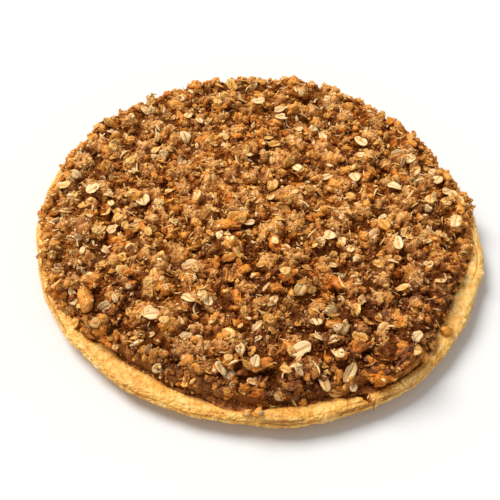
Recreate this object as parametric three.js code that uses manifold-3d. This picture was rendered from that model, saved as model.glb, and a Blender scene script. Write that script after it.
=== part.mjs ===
// Round apple tart under an oat crumble: a shortcrust shell, its apple filling, and the crumble heaped
// on it and spilling over the rim. Millimetres, +Z up. The origin is the centre of the underside.
// Azimuth 0 is +X, and the edge that faces the viewer is at -90 degrees.

import * as THREE from 'three';
import { mergeVertices } from 'three/addons/utils/BufferGeometryUtils.js';
import Module from 'manifold-3d';

const wasm = await Module();
wasm.setup();

// Driving dimensions
const OUTER_RADIUS = 120;
const BASE_RADIUS = 111;
const RIM_HEIGHT = 12.5;
const LIP_HEIGHT = 5.5;
const LIP_UNDERCUT = 3.2;
const SEAM_DEPTH = 1;
const FLOOR_THICKNESS = 3;
const FILLING_LEVEL = 10.3;
const FILLING_RIBBON = 7;
const HEAP_HEIGHT = 21;
const HEAP_DROP = 3.2;
const EDGE_FADE = 5;
const CLEARANCE = 0.3;

// Mesh fineness
const ROUND_SEGMENTS = 72;
const HEAP_RINGS = 25;
const FLAKE_SIDES = 7;

// The shell's outline, pressed by hand and a little out of round: azimuth in degrees, offset in mm
const OUTLINE = [
  [-176, -0.1], [-167, -0.8], [-159, -0.6], [-145, 0.2], [-132, -0.1], [-121, 0.7], [-110, 0.1], [-95, -1],
  [-79, 0.3], [-60, -0.3], [-50, 0.8], [-38, -0.4], [-24, -0.9], [-15, -0.6], [-7, 1.2], [3, 0.8], [12, 0.6],
  [20, -1], [28, -2.6], [37, -1.6], [50, -0.5], [90, 0], [130, -0.3], [170, 0.4],
];

// The pastry's uneven inner edge: azimuth in degrees, radius in mm
const PASTRY_INNER_EDGE = [
  [-170, 112.5], [-150, 113], [-141, 113], [-135, 113], [-130, 108.8], [-124, 109.5], [-115, 109],
  [-108, 110.8], [-101, 110.8], [-95, 114], [-89, 113.3], [-80, 111.6], [-70, 110.6], [-64, 112.5],
  [-55, 115], [-45, 115], [-38, 112.5], [-31, 109], [-20, 108.2], [-13, 109], [-7, 112], [0, 113.2],
  [10, 113], [30, 111], [90, 111], [150, 112],
];

// The crumble's edge, short of the pastry in front and spilling over it at the back: azimuth, radius in mm
const CRUMBLE_EDGE = [
  [-177, 118.5], [-171, 115], [-165, 116.6], [-158, 116.3], [-151, 117.6], [-146, 115.5], [-141, 113],
  [-135, 112.6], [-130, 108], [-124, 107.8], [-116, 107.3], [-108, 108.5], [-100, 107.5], [-93, 108.3],
  [-85, 110], [-78, 108.5], [-72, 107.8], [-65, 110.5], [-58, 111], [-50, 114.6], [-44, 114.6], [-38, 112],
  [-32, 108], [-20, 107], [-14, 107.5], [-8, 111], [0, 113], [6, 114], [13, 118.2], [20, 116.2], [28, 115.8],
  [38, 117.8], [50, 117.2], [70, 117.6], [90, 118], [110, 117.6], [120, 117], [127, 115.5], [138, 115.5],
  [146, 118], [156, 117], [163, 116.6], [170, 115],
];

// How far in the heap reaches its full height: azimuth in degrees, distance in mm
const SHOULDER_RUN = [[-160, 14], [-125, 17], [-85, 20], [-50, 17], [-20, 14], [20, 11], [90, 9], [160, 12]];

// The outer edge's small waves: turns round the tart, height in mm, phase in degrees
const OUTLINE_WAVES = [
  { turns: 19, height: 0.25, phase: 75 },
  { turns: 31, height: 0.15, phase: 20 },
];

// The rim top's finger-pressed waves
const RIM_WAVES = [
  { turns: 5, height: 0.5, phase: 20 },
  { turns: 11, height: 0.4, phase: 200 },
  { turns: 23, height: 0.3, phase: 95 },
];

// Rolling ground under the crumble's pieces: length in mm, heading in degrees, height in mm
const HILLS = [
  { length: 67, heading: 20, height: 0.9 },
  { length: 49, heading: 105, height: 0.8 },
  { length: 35, heading: 150, height: 0.7 },
  { length: 27, heading: 60, height: 0.5 },
];

// The crumble's ragged outline: turns round the tart, height in mm, phase in degrees
const RAGGED_WAVES = [
  { turns: 29, height: 0.6, phase: 30 },
  { turns: 43, height: 0.5, phase: 120 },
  { turns: 58, height: 0.5, phase: 250 },
];

// Cracks through the rim: azimuth in degrees, width and depth in mm
const RIM_CRACKS = [
  { azimuth: -62.2, width: 2.2, depth: 4.2 },
  { azimuth: -51, width: 1, depth: 2.4 },
];

// Pieces that stand out: place, size along each axis and turn in degrees
const LARGE_FLAKES = [
  { x: 23.6, y: -85.2, length: 10.5, width: 8, turn: 25 },
  { x: 34.3, y: -71, length: 9.5, width: 7, turn: 60 },
  { x: -33.2, y: -59.1, length: 8.5, width: 7, turn: 140 },
  { x: -50, y: -71.5, length: 9, width: 7, turn: 15 },
  { x: -73.1, y: -67.3, length: 9.5, width: 5, turn: 35 },
  { x: -9.1, y: -101.8, length: 9, width: 7.5, turn: 120 },
  { x: -32.4, y: -81.1, length: 7.5, width: 6, turn: 35 },
  { x: 35.2, y: -102, length: 9, width: 6.5, turn: 115 },
  { x: 47.2, y: -94.2, length: 12, width: 4.5, turn: 65 },
  { x: 77.7, y: -80.8, length: 8, width: 7.5, turn: 0 },
  { x: 52, y: -74.2, length: 8.5, width: 7, turn: 160 },
  { x: 59.8, y: -6.8, length: 8, width: 6, turn: 50 },
  { x: -34.6, y: -35.8, length: 8.5, width: 7.5, turn: 20 },
  { x: 6.6, y: 87.1, length: 10, width: 4.5, turn: 35 },
];
const LARGE_CLUMPS = [
  { x: -82.7, y: -65.3, size: 8, flatness: 0.5 },
  { x: -66.3, y: -88.3, size: 5.5, flatness: 0.85 },
  { x: -29.6, y: 82.7, size: 6, flatness: 0.9 },
  { x: 14.4, y: 109, size: 6, flatness: 0.9 },
  { x: -33.9, y: 109.9, size: 5, flatness: 1.1 },
  { x: -54.1, y: 81.1, size: 6, flatness: 0.7 },
  { x: -16.2, y: -9.5, size: 7.5, flatness: 0.7 },
  { x: 8.5, y: -19.3, size: 7.5, flatness: 0.7 },
  { x: 15.5, y: -39.7, size: 7.5, flatness: 0.75 },
  { x: 48.1, y: -79.9, size: 6.5, flatness: 0.7 },
];

// The rest, spread evenly from the largest down: how many, how far apart and how large, in mm
const LUMP_SIZES = [
  { count: 110, spacing: 13, radius: [6, 8], height: [2.6, 4.4] },
  { count: 330, spacing: 6.5, radius: [3.8, 5.2], height: [1.4, 3] },
];
const CLUMP_SPREAD = { count: 10, spacing: 16, size: [3.6, 4.8], flatness: 0.75 };
const FLAKE_SPREAD = { count: 18, spacing: 12, length: [7.5, 9.5], width: [5, 6.5] };
const FLAKE_THICKNESS = 1.3;
const RIM_SCALES = { count: 14, length: [5, 9], width: [3, 4.5], thickness: 1.2 };

const degrees = THREE.MathUtils.degToRad;

// A repeatable stream of numbers from 0 to 1
function seededRandom(seed) {
  let state = seed;
  return () => {
    state = (state * 1664525 + 1013904223) % 4294967296;
    return state / 4294967296;
  };
}

const between = (random, [low, high]) => low + (high - low) * random();

function waveSum(waves, azimuth) {
  return waves.reduce((sum, w) => sum + w.height * Math.cos(w.turns * azimuth + degrees(w.phase)), 0);
}

// Reads a closed table of [azimuth, value] pairs, easing from each to the next
function readRound(table, azimuth) {
  const angle = THREE.MathUtils.radToDeg(azimuth);
  const turn = (a) => THREE.MathUtils.euclideanModulo(a, 360);
  const gaps = table.map(([a]) => turn(angle - a));
  const from = gaps.indexOf(Math.min(...gaps));
  const [a0, v0] = table[from];
  const [a1, v1] = table[(from + 1) % table.length];
  return THREE.MathUtils.lerp(v0, v1, THREE.MathUtils.smoothstep(turn(angle - a0) / turn(a1 - a0), 0, 1));
}

const outerRadius = (azimuth) => OUTER_RADIUS + readRound(OUTLINE, azimuth) + waveSum(OUTLINE_WAVES, azimuth);
const rimTop = (azimuth) => RIM_HEIGHT + waveSum(RIM_WAVES, azimuth);
const pastryInnerEdge = (azimuth) => readRound(PASTRY_INNER_EDGE, azimuth);
const crumbleEdge = (azimuth) => readRound(CRUMBLE_EDGE, azimuth) + waveSum(RAGGED_WAVES, azimuth);

function hills(x, y) {
  const hill = ({ length, heading, height }) => {
    const along = x * Math.cos(degrees(heading)) + y * Math.sin(degrees(heading));
    return height * Math.cos((2 * Math.PI * along) / length);
  };
  return HILLS.reduce((sum, h) => sum + hill(h), 0);
}

// Seeded darts on the heap, each at least the given spacing from those already there
function spreadOnHeap(count, spacing, taken, random) {
  const places = [];
  for (let tries = 0; places.length < count && tries < 60 * count; tries += 1) {
    const azimuth = 2 * Math.PI * random();
    const radius = (crumbleEdge(azimuth) - 3) * Math.sqrt(random());
    const place = new THREE.Vector2(radius * Math.cos(azimuth), radius * Math.sin(azimuth));
    if (taken.every((other) => other.distanceTo(place) > spacing)) {
      places.push(place);
      taken.push(place);
    }
  }
  return places;
}

// Lumps of crumble that cover the heap: a round cap each
function spreadLumps() {
  const random = seededRandom(415);
  const taken = [];
  return LUMP_SIZES.flatMap(({ count, spacing, radius, height }) =>
    spreadOnHeap(count, spacing, taken, random).map((place) =>
      ({ place, radius: between(random, radius), height: between(random, height) })));
}

const LUMPS = spreadLumps();

function lumpHeight(x, y) {
  const cap = ({ place, radius, height }) => {
    const reach = Math.hypot(x - place.x, y - place.y) / radius;
    return reach < 1 ? height * Math.sqrt(1 - reach * reach) : 0;
  };
  return Math.max(...LUMPS.map(cap));
}

// Top of the heap: a low dome covered in lumps, with a round shoulder down to the rim
function heapHeight(x, y) {
  const radius = Math.hypot(x, y);
  const azimuth = Math.atan2(y, x);
  const inward = Math.max(crumbleEdge(azimuth) - radius, 0);
  const shoulder = Math.min(inward / readRound(SHOULDER_RUN, azimuth), 1);
  const dome = HEAP_HEIGHT - HEAP_DROP * (radius / OUTER_RADIUS) ** 2 + hills(x, y);
  const ground = THREE.MathUtils.lerp(RIM_HEIGHT, dome, Math.sqrt(1 - (1 - shoulder) ** 2));
  return ground + lumpHeight(x, y) * Math.min(inward / EDGE_FADE, 1);
}

// Radius and height pairs from the middle of the underside, out, over the rim and back to the middle
function shellProfile(azimuth) {
  const outer = outerRadius(azimuth);
  const inner = pastryInnerEdge(azimuth);
  const top = rimTop(azimuth);
  const lip = RIM_HEIGHT - LIP_HEIGHT;
  const seam = RIM_HEIGHT - 0.45 * LIP_HEIGHT;
  return [
    [0, 0], [BASE_RADIUS, 0], [BASE_RADIUS + 2, 1],
    [outer - LIP_UNDERCUT, lip - 1.6], [outer - 0.6, lip - 0.2], [outer, lip + 1.4],
    [outer - 0.2, seam - 0.5], [outer - SEAM_DEPTH - 0.2, seam], [outer - 0.5, seam + 0.5],
    [outer - 1.1, top - 1.1], [outer - 2.8, top], [(outer + inner) / 2 - 0.8, top - 0.1],
    [inner, top - 0.8], [inner - 1.4, FILLING_LEVEL - 1.4],
    [BASE_RADIUS - 5, FLOOR_THICKNESS + 1.6], [BASE_RADIUS - 8, FLOOR_THICKNESS], [0, FLOOR_THICKNESS],
  ];
}

// The filling's top, creeping up the pastry at the edge, over a block that the shell trims to its hollow
function fillingProfile(azimuth) {
  const inner = pastryInnerEdge(azimuth);
  const creep = 0.5 + 0.25 * Math.cos(9 * azimuth);
  return [
    [0, FLOOR_THICKNESS / 2], [BASE_RADIUS - 6, FLOOR_THICKNESS / 2], [inner + 1, FILLING_LEVEL - 2],
    [inner + 1, FILLING_LEVEL + creep], [inner - 2.6, FILLING_LEVEL + creep],
    [inner - FILLING_RIBBON, FILLING_LEVEL], [0, FILLING_LEVEL],
  ];
}

// Moves a profile outwards by a distance, mitred at its corners
function growProfile(profile, distance) {
  const normals = profile.slice(1).map(([r, z], i) => {
    const run = new THREE.Vector2(r - profile[i][0], z - profile[i][1]).normalize();
    return new THREE.Vector2(run.y, -run.x);
  });
  return profile.map(([r, z], i) => {
    const before = normals[Math.max(i - 1, 0)];
    const after = normals[Math.min(i, normals.length - 1)];
    const miter = before.clone().add(after).divideScalar(1 + before.dot(after));
    return [r === 0 ? 0 : r + distance * miter.x, z + distance * miter.y];
  });
}

function triangleGeometry(positions, triangles) {
  const geometry = new THREE.BufferGeometry();
  geometry.setAttribute('position', new THREE.Float32BufferAttribute(positions, 3));
  geometry.setIndex(triangles);
  return geometry;
}

// A closed body from a profile that starts and ends on the axis and may change with azimuth
function revolve(profileAt, segments) {
  const azimuths = Array.from({ length: segments }, (_, i) => (2 * Math.PI * i) / segments);
  const profiles = azimuths.map(profileAt);
  const rows = profiles[0].length - 2;
  const positions = [0, 0, profiles[0][0][1], 0, 0, profiles[0][rows + 1][1]];
  profiles.forEach((profile, i) => {
    for (const [r, z] of profile.slice(1, -1)) {
      positions.push(r * Math.cos(azimuths[i]), r * Math.sin(azimuths[i]), z);
    }
  });
  const vertex = (segment, row) => 2 + (segment % segments) * rows + row;
  const triangles = [];
  for (let i = 0; i < segments; i += 1) {
    triangles.push(0, vertex(i + 1, 0), vertex(i, 0), 1, vertex(i, rows - 1), vertex(i + 1, rows - 1));
    for (let row = 0; row < rows - 1; row += 1) {
      const [a, b] = [vertex(i, row), vertex(i + 1, row)];
      triangles.push(a, b, b + 1, a, b + 1, a + 1);
    }
  }
  return triangleGeometry(positions, triangles);
}

// The heap's lumpy top as a disc of rings, each with six more points than the last, on a flat-bottomed
// wall that reaches below the filling's top, where the filling trims it
function heapGeometry() {
  const positions = [0, 0, heapHeight(0, 0)];
  const triangles = [];
  const vertex = (ring, i) => (ring === 0 ? 0 : 1 + 3 * ring * (ring - 1) + (i % (6 * ring)));
  for (let ring = 1; ring <= HEAP_RINGS; ring += 1) {
    for (let i = 0; i < 6 * ring; i += 1) {
      const azimuth = (2 * Math.PI * i) / (6 * ring);
      const radius = (crumbleEdge(azimuth) * ring) / HEAP_RINGS;
      const [x, y] = [radius * Math.cos(azimuth), radius * Math.sin(azimuth)];
      positions.push(x, y, heapHeight(x, y));
      const inside = i - Math.floor(i / ring);
      triangles.push(vertex(ring, i), vertex(ring, i + 1), vertex(ring - 1, inside));
      if (i % ring < ring - 1) {
        triangles.push(vertex(ring - 1, inside), vertex(ring, i + 1), vertex(ring - 1, inside + 1));
      }
    }
  }
  const rimCount = 6 * HEAP_RINGS;
  const foot = positions.length / 3;
  for (let i = 0; i < rimCount; i += 1) {
    const above = vertex(HEAP_RINGS, i);
    positions.push(positions[3 * above], positions[3 * above + 1], FILLING_LEVEL - 1);
    const next = (i + 1) % rimCount;
    const aboveNext = vertex(HEAP_RINGS, i + 1);
    triangles.push(foot + i, foot + next, aboveNext, foot + i, aboveNext, above);
    triangles.push(foot + rimCount, foot + next, foot + i);
  }
  positions.push(0, 0, FILLING_LEVEL - 1);
  return triangleGeometry(positions, triangles);
}

// A lump of crumble: an uneven ball, squashed and turned at random
function clumpGeometry(size, flatness, detail, random) {
  const ball = new THREE.IcosahedronGeometry(1, detail);
  ball.deleteAttribute('normal');
  ball.deleteAttribute('uv');
  const lump = mergeVertices(ball, 1e-4);
  const position = lump.getAttribute('position');
  const point = new THREE.Vector3();
  for (let i = 0; i < position.count; i += 1) {
    point.fromBufferAttribute(position, i).multiplyScalar(0.8 + 0.35 * random());
    position.setXYZ(i, point.x, point.y, point.z);
  }
  lump.scale(size * (0.85 + 0.3 * random()), size * (0.75 + 0.2 * random()), size * flatness);
  lump.rotateX(degrees(between(random, [-20, 20])));
  return lump.rotateZ(2 * Math.PI * random());
}

// A rolled oat or a scale of pastry: an oval plate, bent a little along its length
function plateGeometry(length, width, thickness) {
  const bend = 0.07 * length;
  const positions = [0, 0, thickness / 2, 0, 0, -thickness / 2];
  for (let i = 0; i < FLAKE_SIDES; i += 1) {
    const turn = (2 * Math.PI * i) / FLAKE_SIDES;
    const [x, y] = [(length / 2) * Math.cos(turn), (width / 2) * Math.sin(turn)];
    const lift = bend * Math.cos(turn) ** 2;
    positions.push(x, y, lift + 0.35 * thickness, x, y, lift - 0.35 * thickness);
  }
  const triangles = [];
  for (let i = 0; i < FLAKE_SIDES; i += 1) {
    const [a, b] = [2 + 2 * i, 2 + 2 * ((i + 1) % FLAKE_SIDES)];
    triangles.push(0, a, b, 1, b + 1, a + 1, a, a + 1, b + 1, a, b + 1, b);
  }
  return triangleGeometry(positions, triangles);
}

function setOnHeap(geometry, x, y, lift) {
  return geometry.translate(x, y, heapHeight(x, y) + lift);
}

function flakeOnHeap({ x, y, length, width, turn }, tilt) {
  const flake = plateGeometry(length, width, FLAKE_THICKNESS);
  flake.rotateY(tilt).rotateZ(degrees(turn));
  return setOnHeap(flake, x, y, 0.2 * length * Math.abs(Math.sin(tilt)) + 0.3);
}

function heapPieces() {
  const random = seededRandom(2024);
  const pieces = [];
  const taken = [...LARGE_FLAKES, ...LARGE_CLUMPS].map(({ x, y }) => new THREE.Vector2(x, y));
  for (const flake of LARGE_FLAKES) {
    pieces.push(flakeOnHeap(flake, degrees(between(random, [-18, 18]))));
  }
  for (const { x, y, size, flatness } of LARGE_CLUMPS) {
    pieces.push(setOnHeap(clumpGeometry(size, flatness, 1, random), x, y, 0.1 * size));
  }
  for (const { x, y } of spreadOnHeap(CLUMP_SPREAD.count, CLUMP_SPREAD.spacing, taken, random)) {
    const size = between(random, CLUMP_SPREAD.size);
    pieces.push(setOnHeap(clumpGeometry(size, CLUMP_SPREAD.flatness, 0, random), x, y, 0));
  }
  for (const { x, y } of spreadOnHeap(FLAKE_SPREAD.count, FLAKE_SPREAD.spacing, taken, random)) {
    const length = between(random, FLAKE_SPREAD.length);
    const width = between(random, FLAKE_SPREAD.width);
    const tilt = degrees(between(random, [-25, 25]));
    pieces.push(flakeOnHeap({ x, y, length, width, turn: 360 * random() }, tilt));
  }
  return pieces;
}

// Flaky scales that stand a little proud on the rim's top, with a margin all round where asked
function rimScales(margin = 0) {
  const random = seededRandom(77);
  const { count, length, width, thickness } = RIM_SCALES;
  return Array.from({ length: count }, (_, i) => {
    const azimuth = (2 * Math.PI * (i + 0.7 * random())) / count;
    const sides = [between(random, length), between(random, width), thickness];
    const scale = plateGeometry(...sides.map((side) => side + 2 * margin));
    scale.rotateX(degrees(between(random, [-12, 12]))).rotateZ(azimuth + Math.PI / 2);
    const across = 0.3 + 0.35 * random();
    const radius = THREE.MathUtils.lerp(pastryInnerEdge(azimuth), outerRadius(azimuth), across);
    return scale.translate(radius * Math.cos(azimuth), radius * Math.sin(azimuth), rimTop(azimuth) - 0.15);
  });
}

// A wedge that opens a crack through the rim from above
function crackGeometry({ azimuth, width, depth }) {
  const turn = degrees(azimuth);
  const wedge = new THREE.Shape([
    new THREE.Vector2(-0.15 * width, -depth), new THREE.Vector2(0.15 * width, -depth),
    new THREE.Vector2(0.6 * width, 2), new THREE.Vector2(-0.4 * width, 2),
  ]);
  const inner = pastryInnerEdge(turn) - 3;
  const geometry = new THREE.ExtrudeGeometry(wedge, { depth: OUTER_RADIUS + 4 - inner, bevelEnabled: false });
  geometry.rotateX(Math.PI / 2).rotateZ(turn + Math.PI / 2);
  return geometry.translate(
    (OUTER_RADIUS + 4) * Math.cos(turn), (OUTER_RADIUS + 4) * Math.sin(turn), rimTop(turn));
}

function toSolid(geometry) {
  const plain = geometry.clone();
  plain.deleteAttribute('normal');
  plain.deleteAttribute('uv');
  const merged = mergeVertices(plain, 1e-4);
  return new wasm.Manifold(new wasm.Mesh({
    numProp: 3,
    vertProperties: new Float32Array(merged.getAttribute('position').array),
    triVerts: new Uint32Array(merged.getIndex().array),
  }));
}

function toGeometry(solid) {
  const { vertProperties, triVerts } = solid.getMesh();
  return triangleGeometry(Array.from(vertProperties), Array.from(triVerts)).toNonIndexed();
}

// Drops the loose scraps that a cut leaves beside the body
function largestBody(solid) {
  const bodies = solid.decompose();
  return bodies.reduce((best, body) => (body.volume() > best.volume() ? body : best));
}

function namedMesh(name, solid, colour, roughness) {
  const geometry = toGeometry(largestBody(solid));
  geometry.computeVertexNormals();
  const material = new THREE.MeshStandardMaterial({ color: colour, roughness, metalness: 0 });
  const mesh = new THREE.Mesh(geometry, material);
  mesh.name = name;
  return mesh;
}

const joined = (body, pieces) => pieces.map(toSolid).reduce((sum, piece) => sum.add(piece), toSolid(body));

function grown(profileAt, segments) {
  return revolve((azimuth) => growProfile(profileAt(azimuth), CLEARANCE), segments);
}

function pastryShell() {
  const whole = joined(revolve(shellProfile, ROUND_SEGMENTS), rimScales());
  return RIM_CRACKS.map(crackGeometry).map(toSolid).reduce((rest, crack) => rest.subtract(crack), whole);
}

// The room that the shell needs, with its clearance
function shellRoom() {
  return joined(grown(shellProfile, ROUND_SEGMENTS), rimScales(CLEARANCE));
}

function appleFilling() {
  return toSolid(revolve(fillingProfile, ROUND_SEGMENTS)).subtract(shellRoom());
}

// The heap with its pieces, trimmed clear of the pastry and the filling
function oatCrumble() {
  const heap = joined(heapGeometry(), heapPieces());
  return heap.subtract(shellRoom()).subtract(toSolid(grown(fillingProfile, ROUND_SEGMENTS)));
}

const tart = new THREE.Group();
tart.add(namedMesh('pastry_shell', pastryShell(), 0xe0ab62, 0.75));
tart.add(namedMesh('apple_filling', appleFilling(), 0x5c2c12, 0.35));
tart.add(namedMesh('oat_crumble', oatCrumble(), 0xa9743c, 0.8));

export default tart;
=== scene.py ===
"""Finished look of a whole round apple tart under an oat crumble.

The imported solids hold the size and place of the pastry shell, the filling and the heap of crumble. Each gets
its fine surface here: a baked shortcrust shell with a flaky rim, a moist filling, and a heap built up from a
bed, clumps, nuggets, rolled oats, slivers and crumbs. Sizes are in millimetres until a mesh is made.
"""

import logging
import math
from collections.abc import Callable
from dataclasses import dataclass, field
from enum import Enum

import bmesh
import bpy
import numpy as np
from mathutils import Matrix, Vector, noise
from mathutils.bvhtree import BVHTree


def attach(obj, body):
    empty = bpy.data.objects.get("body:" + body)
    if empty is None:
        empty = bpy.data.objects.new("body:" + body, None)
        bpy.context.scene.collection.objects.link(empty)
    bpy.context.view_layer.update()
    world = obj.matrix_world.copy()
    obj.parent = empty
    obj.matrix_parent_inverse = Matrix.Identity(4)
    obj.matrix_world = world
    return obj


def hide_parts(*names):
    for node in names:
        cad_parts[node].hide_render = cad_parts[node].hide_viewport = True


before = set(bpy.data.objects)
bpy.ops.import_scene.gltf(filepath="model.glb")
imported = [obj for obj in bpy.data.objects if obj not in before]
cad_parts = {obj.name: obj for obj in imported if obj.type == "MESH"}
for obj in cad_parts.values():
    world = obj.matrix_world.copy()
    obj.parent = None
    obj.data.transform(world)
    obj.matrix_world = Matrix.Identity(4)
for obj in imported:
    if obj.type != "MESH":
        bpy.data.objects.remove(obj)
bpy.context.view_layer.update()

MM = 0.001
BODY = "root"
LOG = logging.getLogger("tart")

Array = np.ndarray
Arrays = tuple[np.ndarray, np.ndarray]
Table = tuple[tuple[float, float], ...]


# Form of the whole tart


@dataclass(frozen=True)
class Wave:
    """One slow wave: turns round the tart or a length across it, a height in mm and an angle in degrees."""

    turns: float
    height: float
    phase: float


@dataclass(frozen=True)
class Crack:
    """A crack through the rim, at an azimuth in degrees, with its width and depth in mm."""

    azimuth: float
    width: float
    depth: float


@dataclass(frozen=True)
class Lump:
    """A lump on the heap: where it is, how wide and how high."""

    x: float
    y: float
    radius: float
    height: float


@dataclass(frozen=True)
class LumpSize:
    """How many lumps of one size there are, how far apart, and their radius and height ranges."""

    count: int
    spacing: float
    radius: tuple[float, float]
    height: tuple[float, float]


class RepeatedDraw:
    """The same stream of numbers from 0 to 1 that strews the lumps on the heap's solid."""

    def __init__(self, seed: int) -> None:
        """Starts the stream at a seed."""
        self.state = seed

    def unit(self) -> float:
        """Returns the next number from 0 to 1."""
        self.state = (self.state * 1664525 + 1013904223) % 4294967296
        return self.state / 4294967296

    def between(self, ends: tuple[float, float]) -> float:
        """Returns the next number, stretched to lie between two ends."""
        return ends[0] + (ends[1] - ends[0]) * self.unit()


def smoothstep(value: Array) -> Array:
    """Eases values from 0 to 1, flat at both ends."""
    held = np.clip(value, 0.0, 1.0)
    return held * held * (3.0 - 2.0 * held)


def read_round(table: Table, azimuth: Array) -> Array:
    """Reads a closed table of azimuth and value pairs, easing from each to the next.

    Args:
        table: pairs of azimuth in degrees and value, in order round the tart.
        azimuth: angles in radians.

    Returns:
        The value at each angle.
    """
    starts, values = np.array(table).T
    turned = (np.degrees(azimuth)[..., None] - starts) % 360.0
    near = np.argmin(turned, axis=-1)
    after = (near + 1) % len(table)
    span = (starts[after] - starts[near]) % 360.0
    part = np.take_along_axis(turned, near[..., None], axis=-1)[..., 0] / span
    return values[near] + (values[after] - values[near]) * smoothstep(part)


@dataclass(frozen=True)
class TartForm:
    """Sizes of the tart and its slow shapes, the same as the solids'. All lengths are in mm."""

    outer_radius: float = 120.0
    base_radius: float = 111.0
    rim_height: float = 12.5
    lip_height: float = 5.5
    lip_undercut: float = 3.2
    seam_depth: float = 1.0
    floor_thickness: float = 3.0
    filling_level: float = 10.3
    heap_height: float = 21.0
    heap_drop: float = 3.2
    edge_fade: float = 5.0
    outline: Table = (
        (-176, -0.1), (-167, -0.8), (-159, -0.6), (-145, 0.2), (-132, -0.1), (-121, 0.7), (-110, 0.1),
        (-95, -1), (-79, 0.3), (-60, -0.3), (-50, 0.8), (-38, -0.4), (-24, -0.9), (-15, -0.6), (-7, 1.2),
        (3, 0.8), (12, 0.6), (20, -1), (28, -2.6), (37, -1.6), (50, -0.5), (90, 0), (130, -0.3), (170, 0.4),
    )
    pastry_inner: Table = (
        (-170, 112.5), (-150, 113), (-141, 113), (-135, 113), (-130, 108.8), (-124, 109.5), (-115, 109),
        (-108, 110.8), (-101, 110.8), (-95, 114), (-89, 113.3), (-80, 111.6), (-70, 110.6), (-64, 112.5),
        (-55, 115), (-45, 115), (-38, 112.5), (-31, 109), (-20, 108.2), (-13, 109), (-7, 112), (0, 113.2),
        (10, 113), (30, 111), (90, 111), (150, 112),
    )
    crumble_reach: Table = (
        (-177, 118.5), (-171, 115), (-165, 116.6), (-158, 116.3), (-151, 117.6), (-146, 115.5), (-141, 113),
        (-135, 112.6), (-130, 108), (-124, 107.8), (-116, 107.3), (-108, 108.5), (-100, 107.5), (-93, 108.3),
        (-85, 110), (-78, 108.5), (-72, 107.8), (-65, 110.5), (-58, 111), (-50, 114.6), (-44, 114.6),
        (-38, 112), (-32, 108), (-20, 107), (-14, 107.5), (-8, 111), (0, 113), (6, 114), (13, 118.2),
        (20, 116.2), (28, 115.8), (38, 117.8), (50, 117.2), (70, 117.6), (90, 118), (110, 117.6),
        (120, 117), (127, 115.5), (138, 115.5), (146, 118), (156, 117), (163, 116.6), (170, 115),
    )
    shoulder_run: Table = (
        (-160, 14), (-125, 17), (-85, 20), (-50, 17), (-20, 14), (20, 11), (90, 9), (160, 12),
    )
    outline_waves: tuple[Wave, ...] = (Wave(19, 0.25, 75), Wave(31, 0.15, 20))
    rim_waves: tuple[Wave, ...] = (Wave(5, 0.5, 20), Wave(11, 0.4, 200), Wave(23, 0.3, 95))
    ragged_waves: tuple[Wave, ...] = (Wave(29, 0.6, 30), Wave(43, 0.5, 120), Wave(58, 0.5, 250))
    hills: tuple[Wave, ...] = (Wave(67, 0.9, 20), Wave(49, 0.8, 105), Wave(35, 0.7, 150), Wave(27, 0.5, 60))
    cracks: tuple[Crack, ...] = (Crack(-60.8, 8.6, 7.4), Crack(-51.3, 1.3, 2.6))
    notch_depth: float = 4.0
    notch_angle: float = 2.8
    lump_sizes: tuple[LumpSize, ...] = (
        LumpSize(110, 13.0, (6.0, 8.0), (2.6, 4.4)),
        LumpSize(330, 6.5, (3.8, 5.2), (1.4, 3.0)),
    )
    lump_seed: int = 415

    def outer(self, azimuth: Array) -> Array:
        """Returns the rim's outer radius at each azimuth in radians."""
        offset = read_round(self.outline, azimuth) + self._round_waves(self.outline_waves, azimuth)
        return self.outer_radius + offset

    def rim_top(self, azimuth: Array) -> Array:
        """Returns the rim's height at each azimuth in radians."""
        return self.rim_height + self._round_waves(self.rim_waves, azimuth)

    def inner(self, azimuth: Array) -> Array:
        """Returns the radius of the pastry's inner edge at each azimuth in radians."""
        return read_round(self.pastry_inner, azimuth)

    def reach(self, azimuth: Array) -> Array:
        """Returns the radius that the crumble's solid reaches at each azimuth in radians."""
        return read_round(self.crumble_reach, azimuth) + self._round_waves(self.ragged_waves, azimuth)

    def crumble_edge(self, azimuth: Array) -> Array:
        """Returns the radius of the crumble's edge: its solid's, drawn in beside the widest crack."""
        turned = (np.degrees(azimuth) - self.cracks[0].azimuth + 180.0) % 360.0 - 180.0
        return self.reach(azimuth) - self.notch_depth * np.exp(-((turned / self.notch_angle) ** 2))

    def inward(self, x: Array, y: Array) -> Array:
        """Returns how far inside the heap's edge each point lies."""
        return self.crumble_edge(np.arctan2(y, x)) - np.hypot(x, y)

    def edge_fade_at(self, x: Array, y: Array) -> Array:
        """Returns 0 at the heap's edge, rising to 1 a little way in."""
        return np.clip(self.inward(x, y) / self.edge_fade, 0.0, 1.0)

    def ground(self, x: Array, y: Array) -> Array:
        """Returns the height of the smooth heap under its lumps."""
        azimuth = np.arctan2(y, x)
        radius = np.hypot(x, y)
        inward = np.maximum(self.crumble_edge(azimuth) - radius, 0.0)
        shoulder = np.minimum(inward / read_round(self.shoulder_run, azimuth), 1.0)
        rise = np.sqrt(1.0 - (1.0 - shoulder) ** 2)
        dome = self.heap_height - self.heap_drop * (radius / self.outer_radius) ** 2 + self._hills_at(x, y)
        return self.rim_height + (dome - self.rim_height) * rise

    def lumps(self) -> list[Lump]:
        """Strews the heap's lumps from the largest down, just as on its solid.

        Returns:
            The lumps, each clear of those before it by its spacing.
        """
        draw = RepeatedDraw(self.lump_seed)
        taken: list[tuple[float, float]] = []
        lumps: list[Lump] = []
        for size in self.lump_sizes:
            places = self._darts(size.count, size.spacing, taken, draw)
            lumps += [Lump(x, y, draw.between(size.radius), draw.between(size.height)) for x, y in places]
        return lumps

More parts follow.
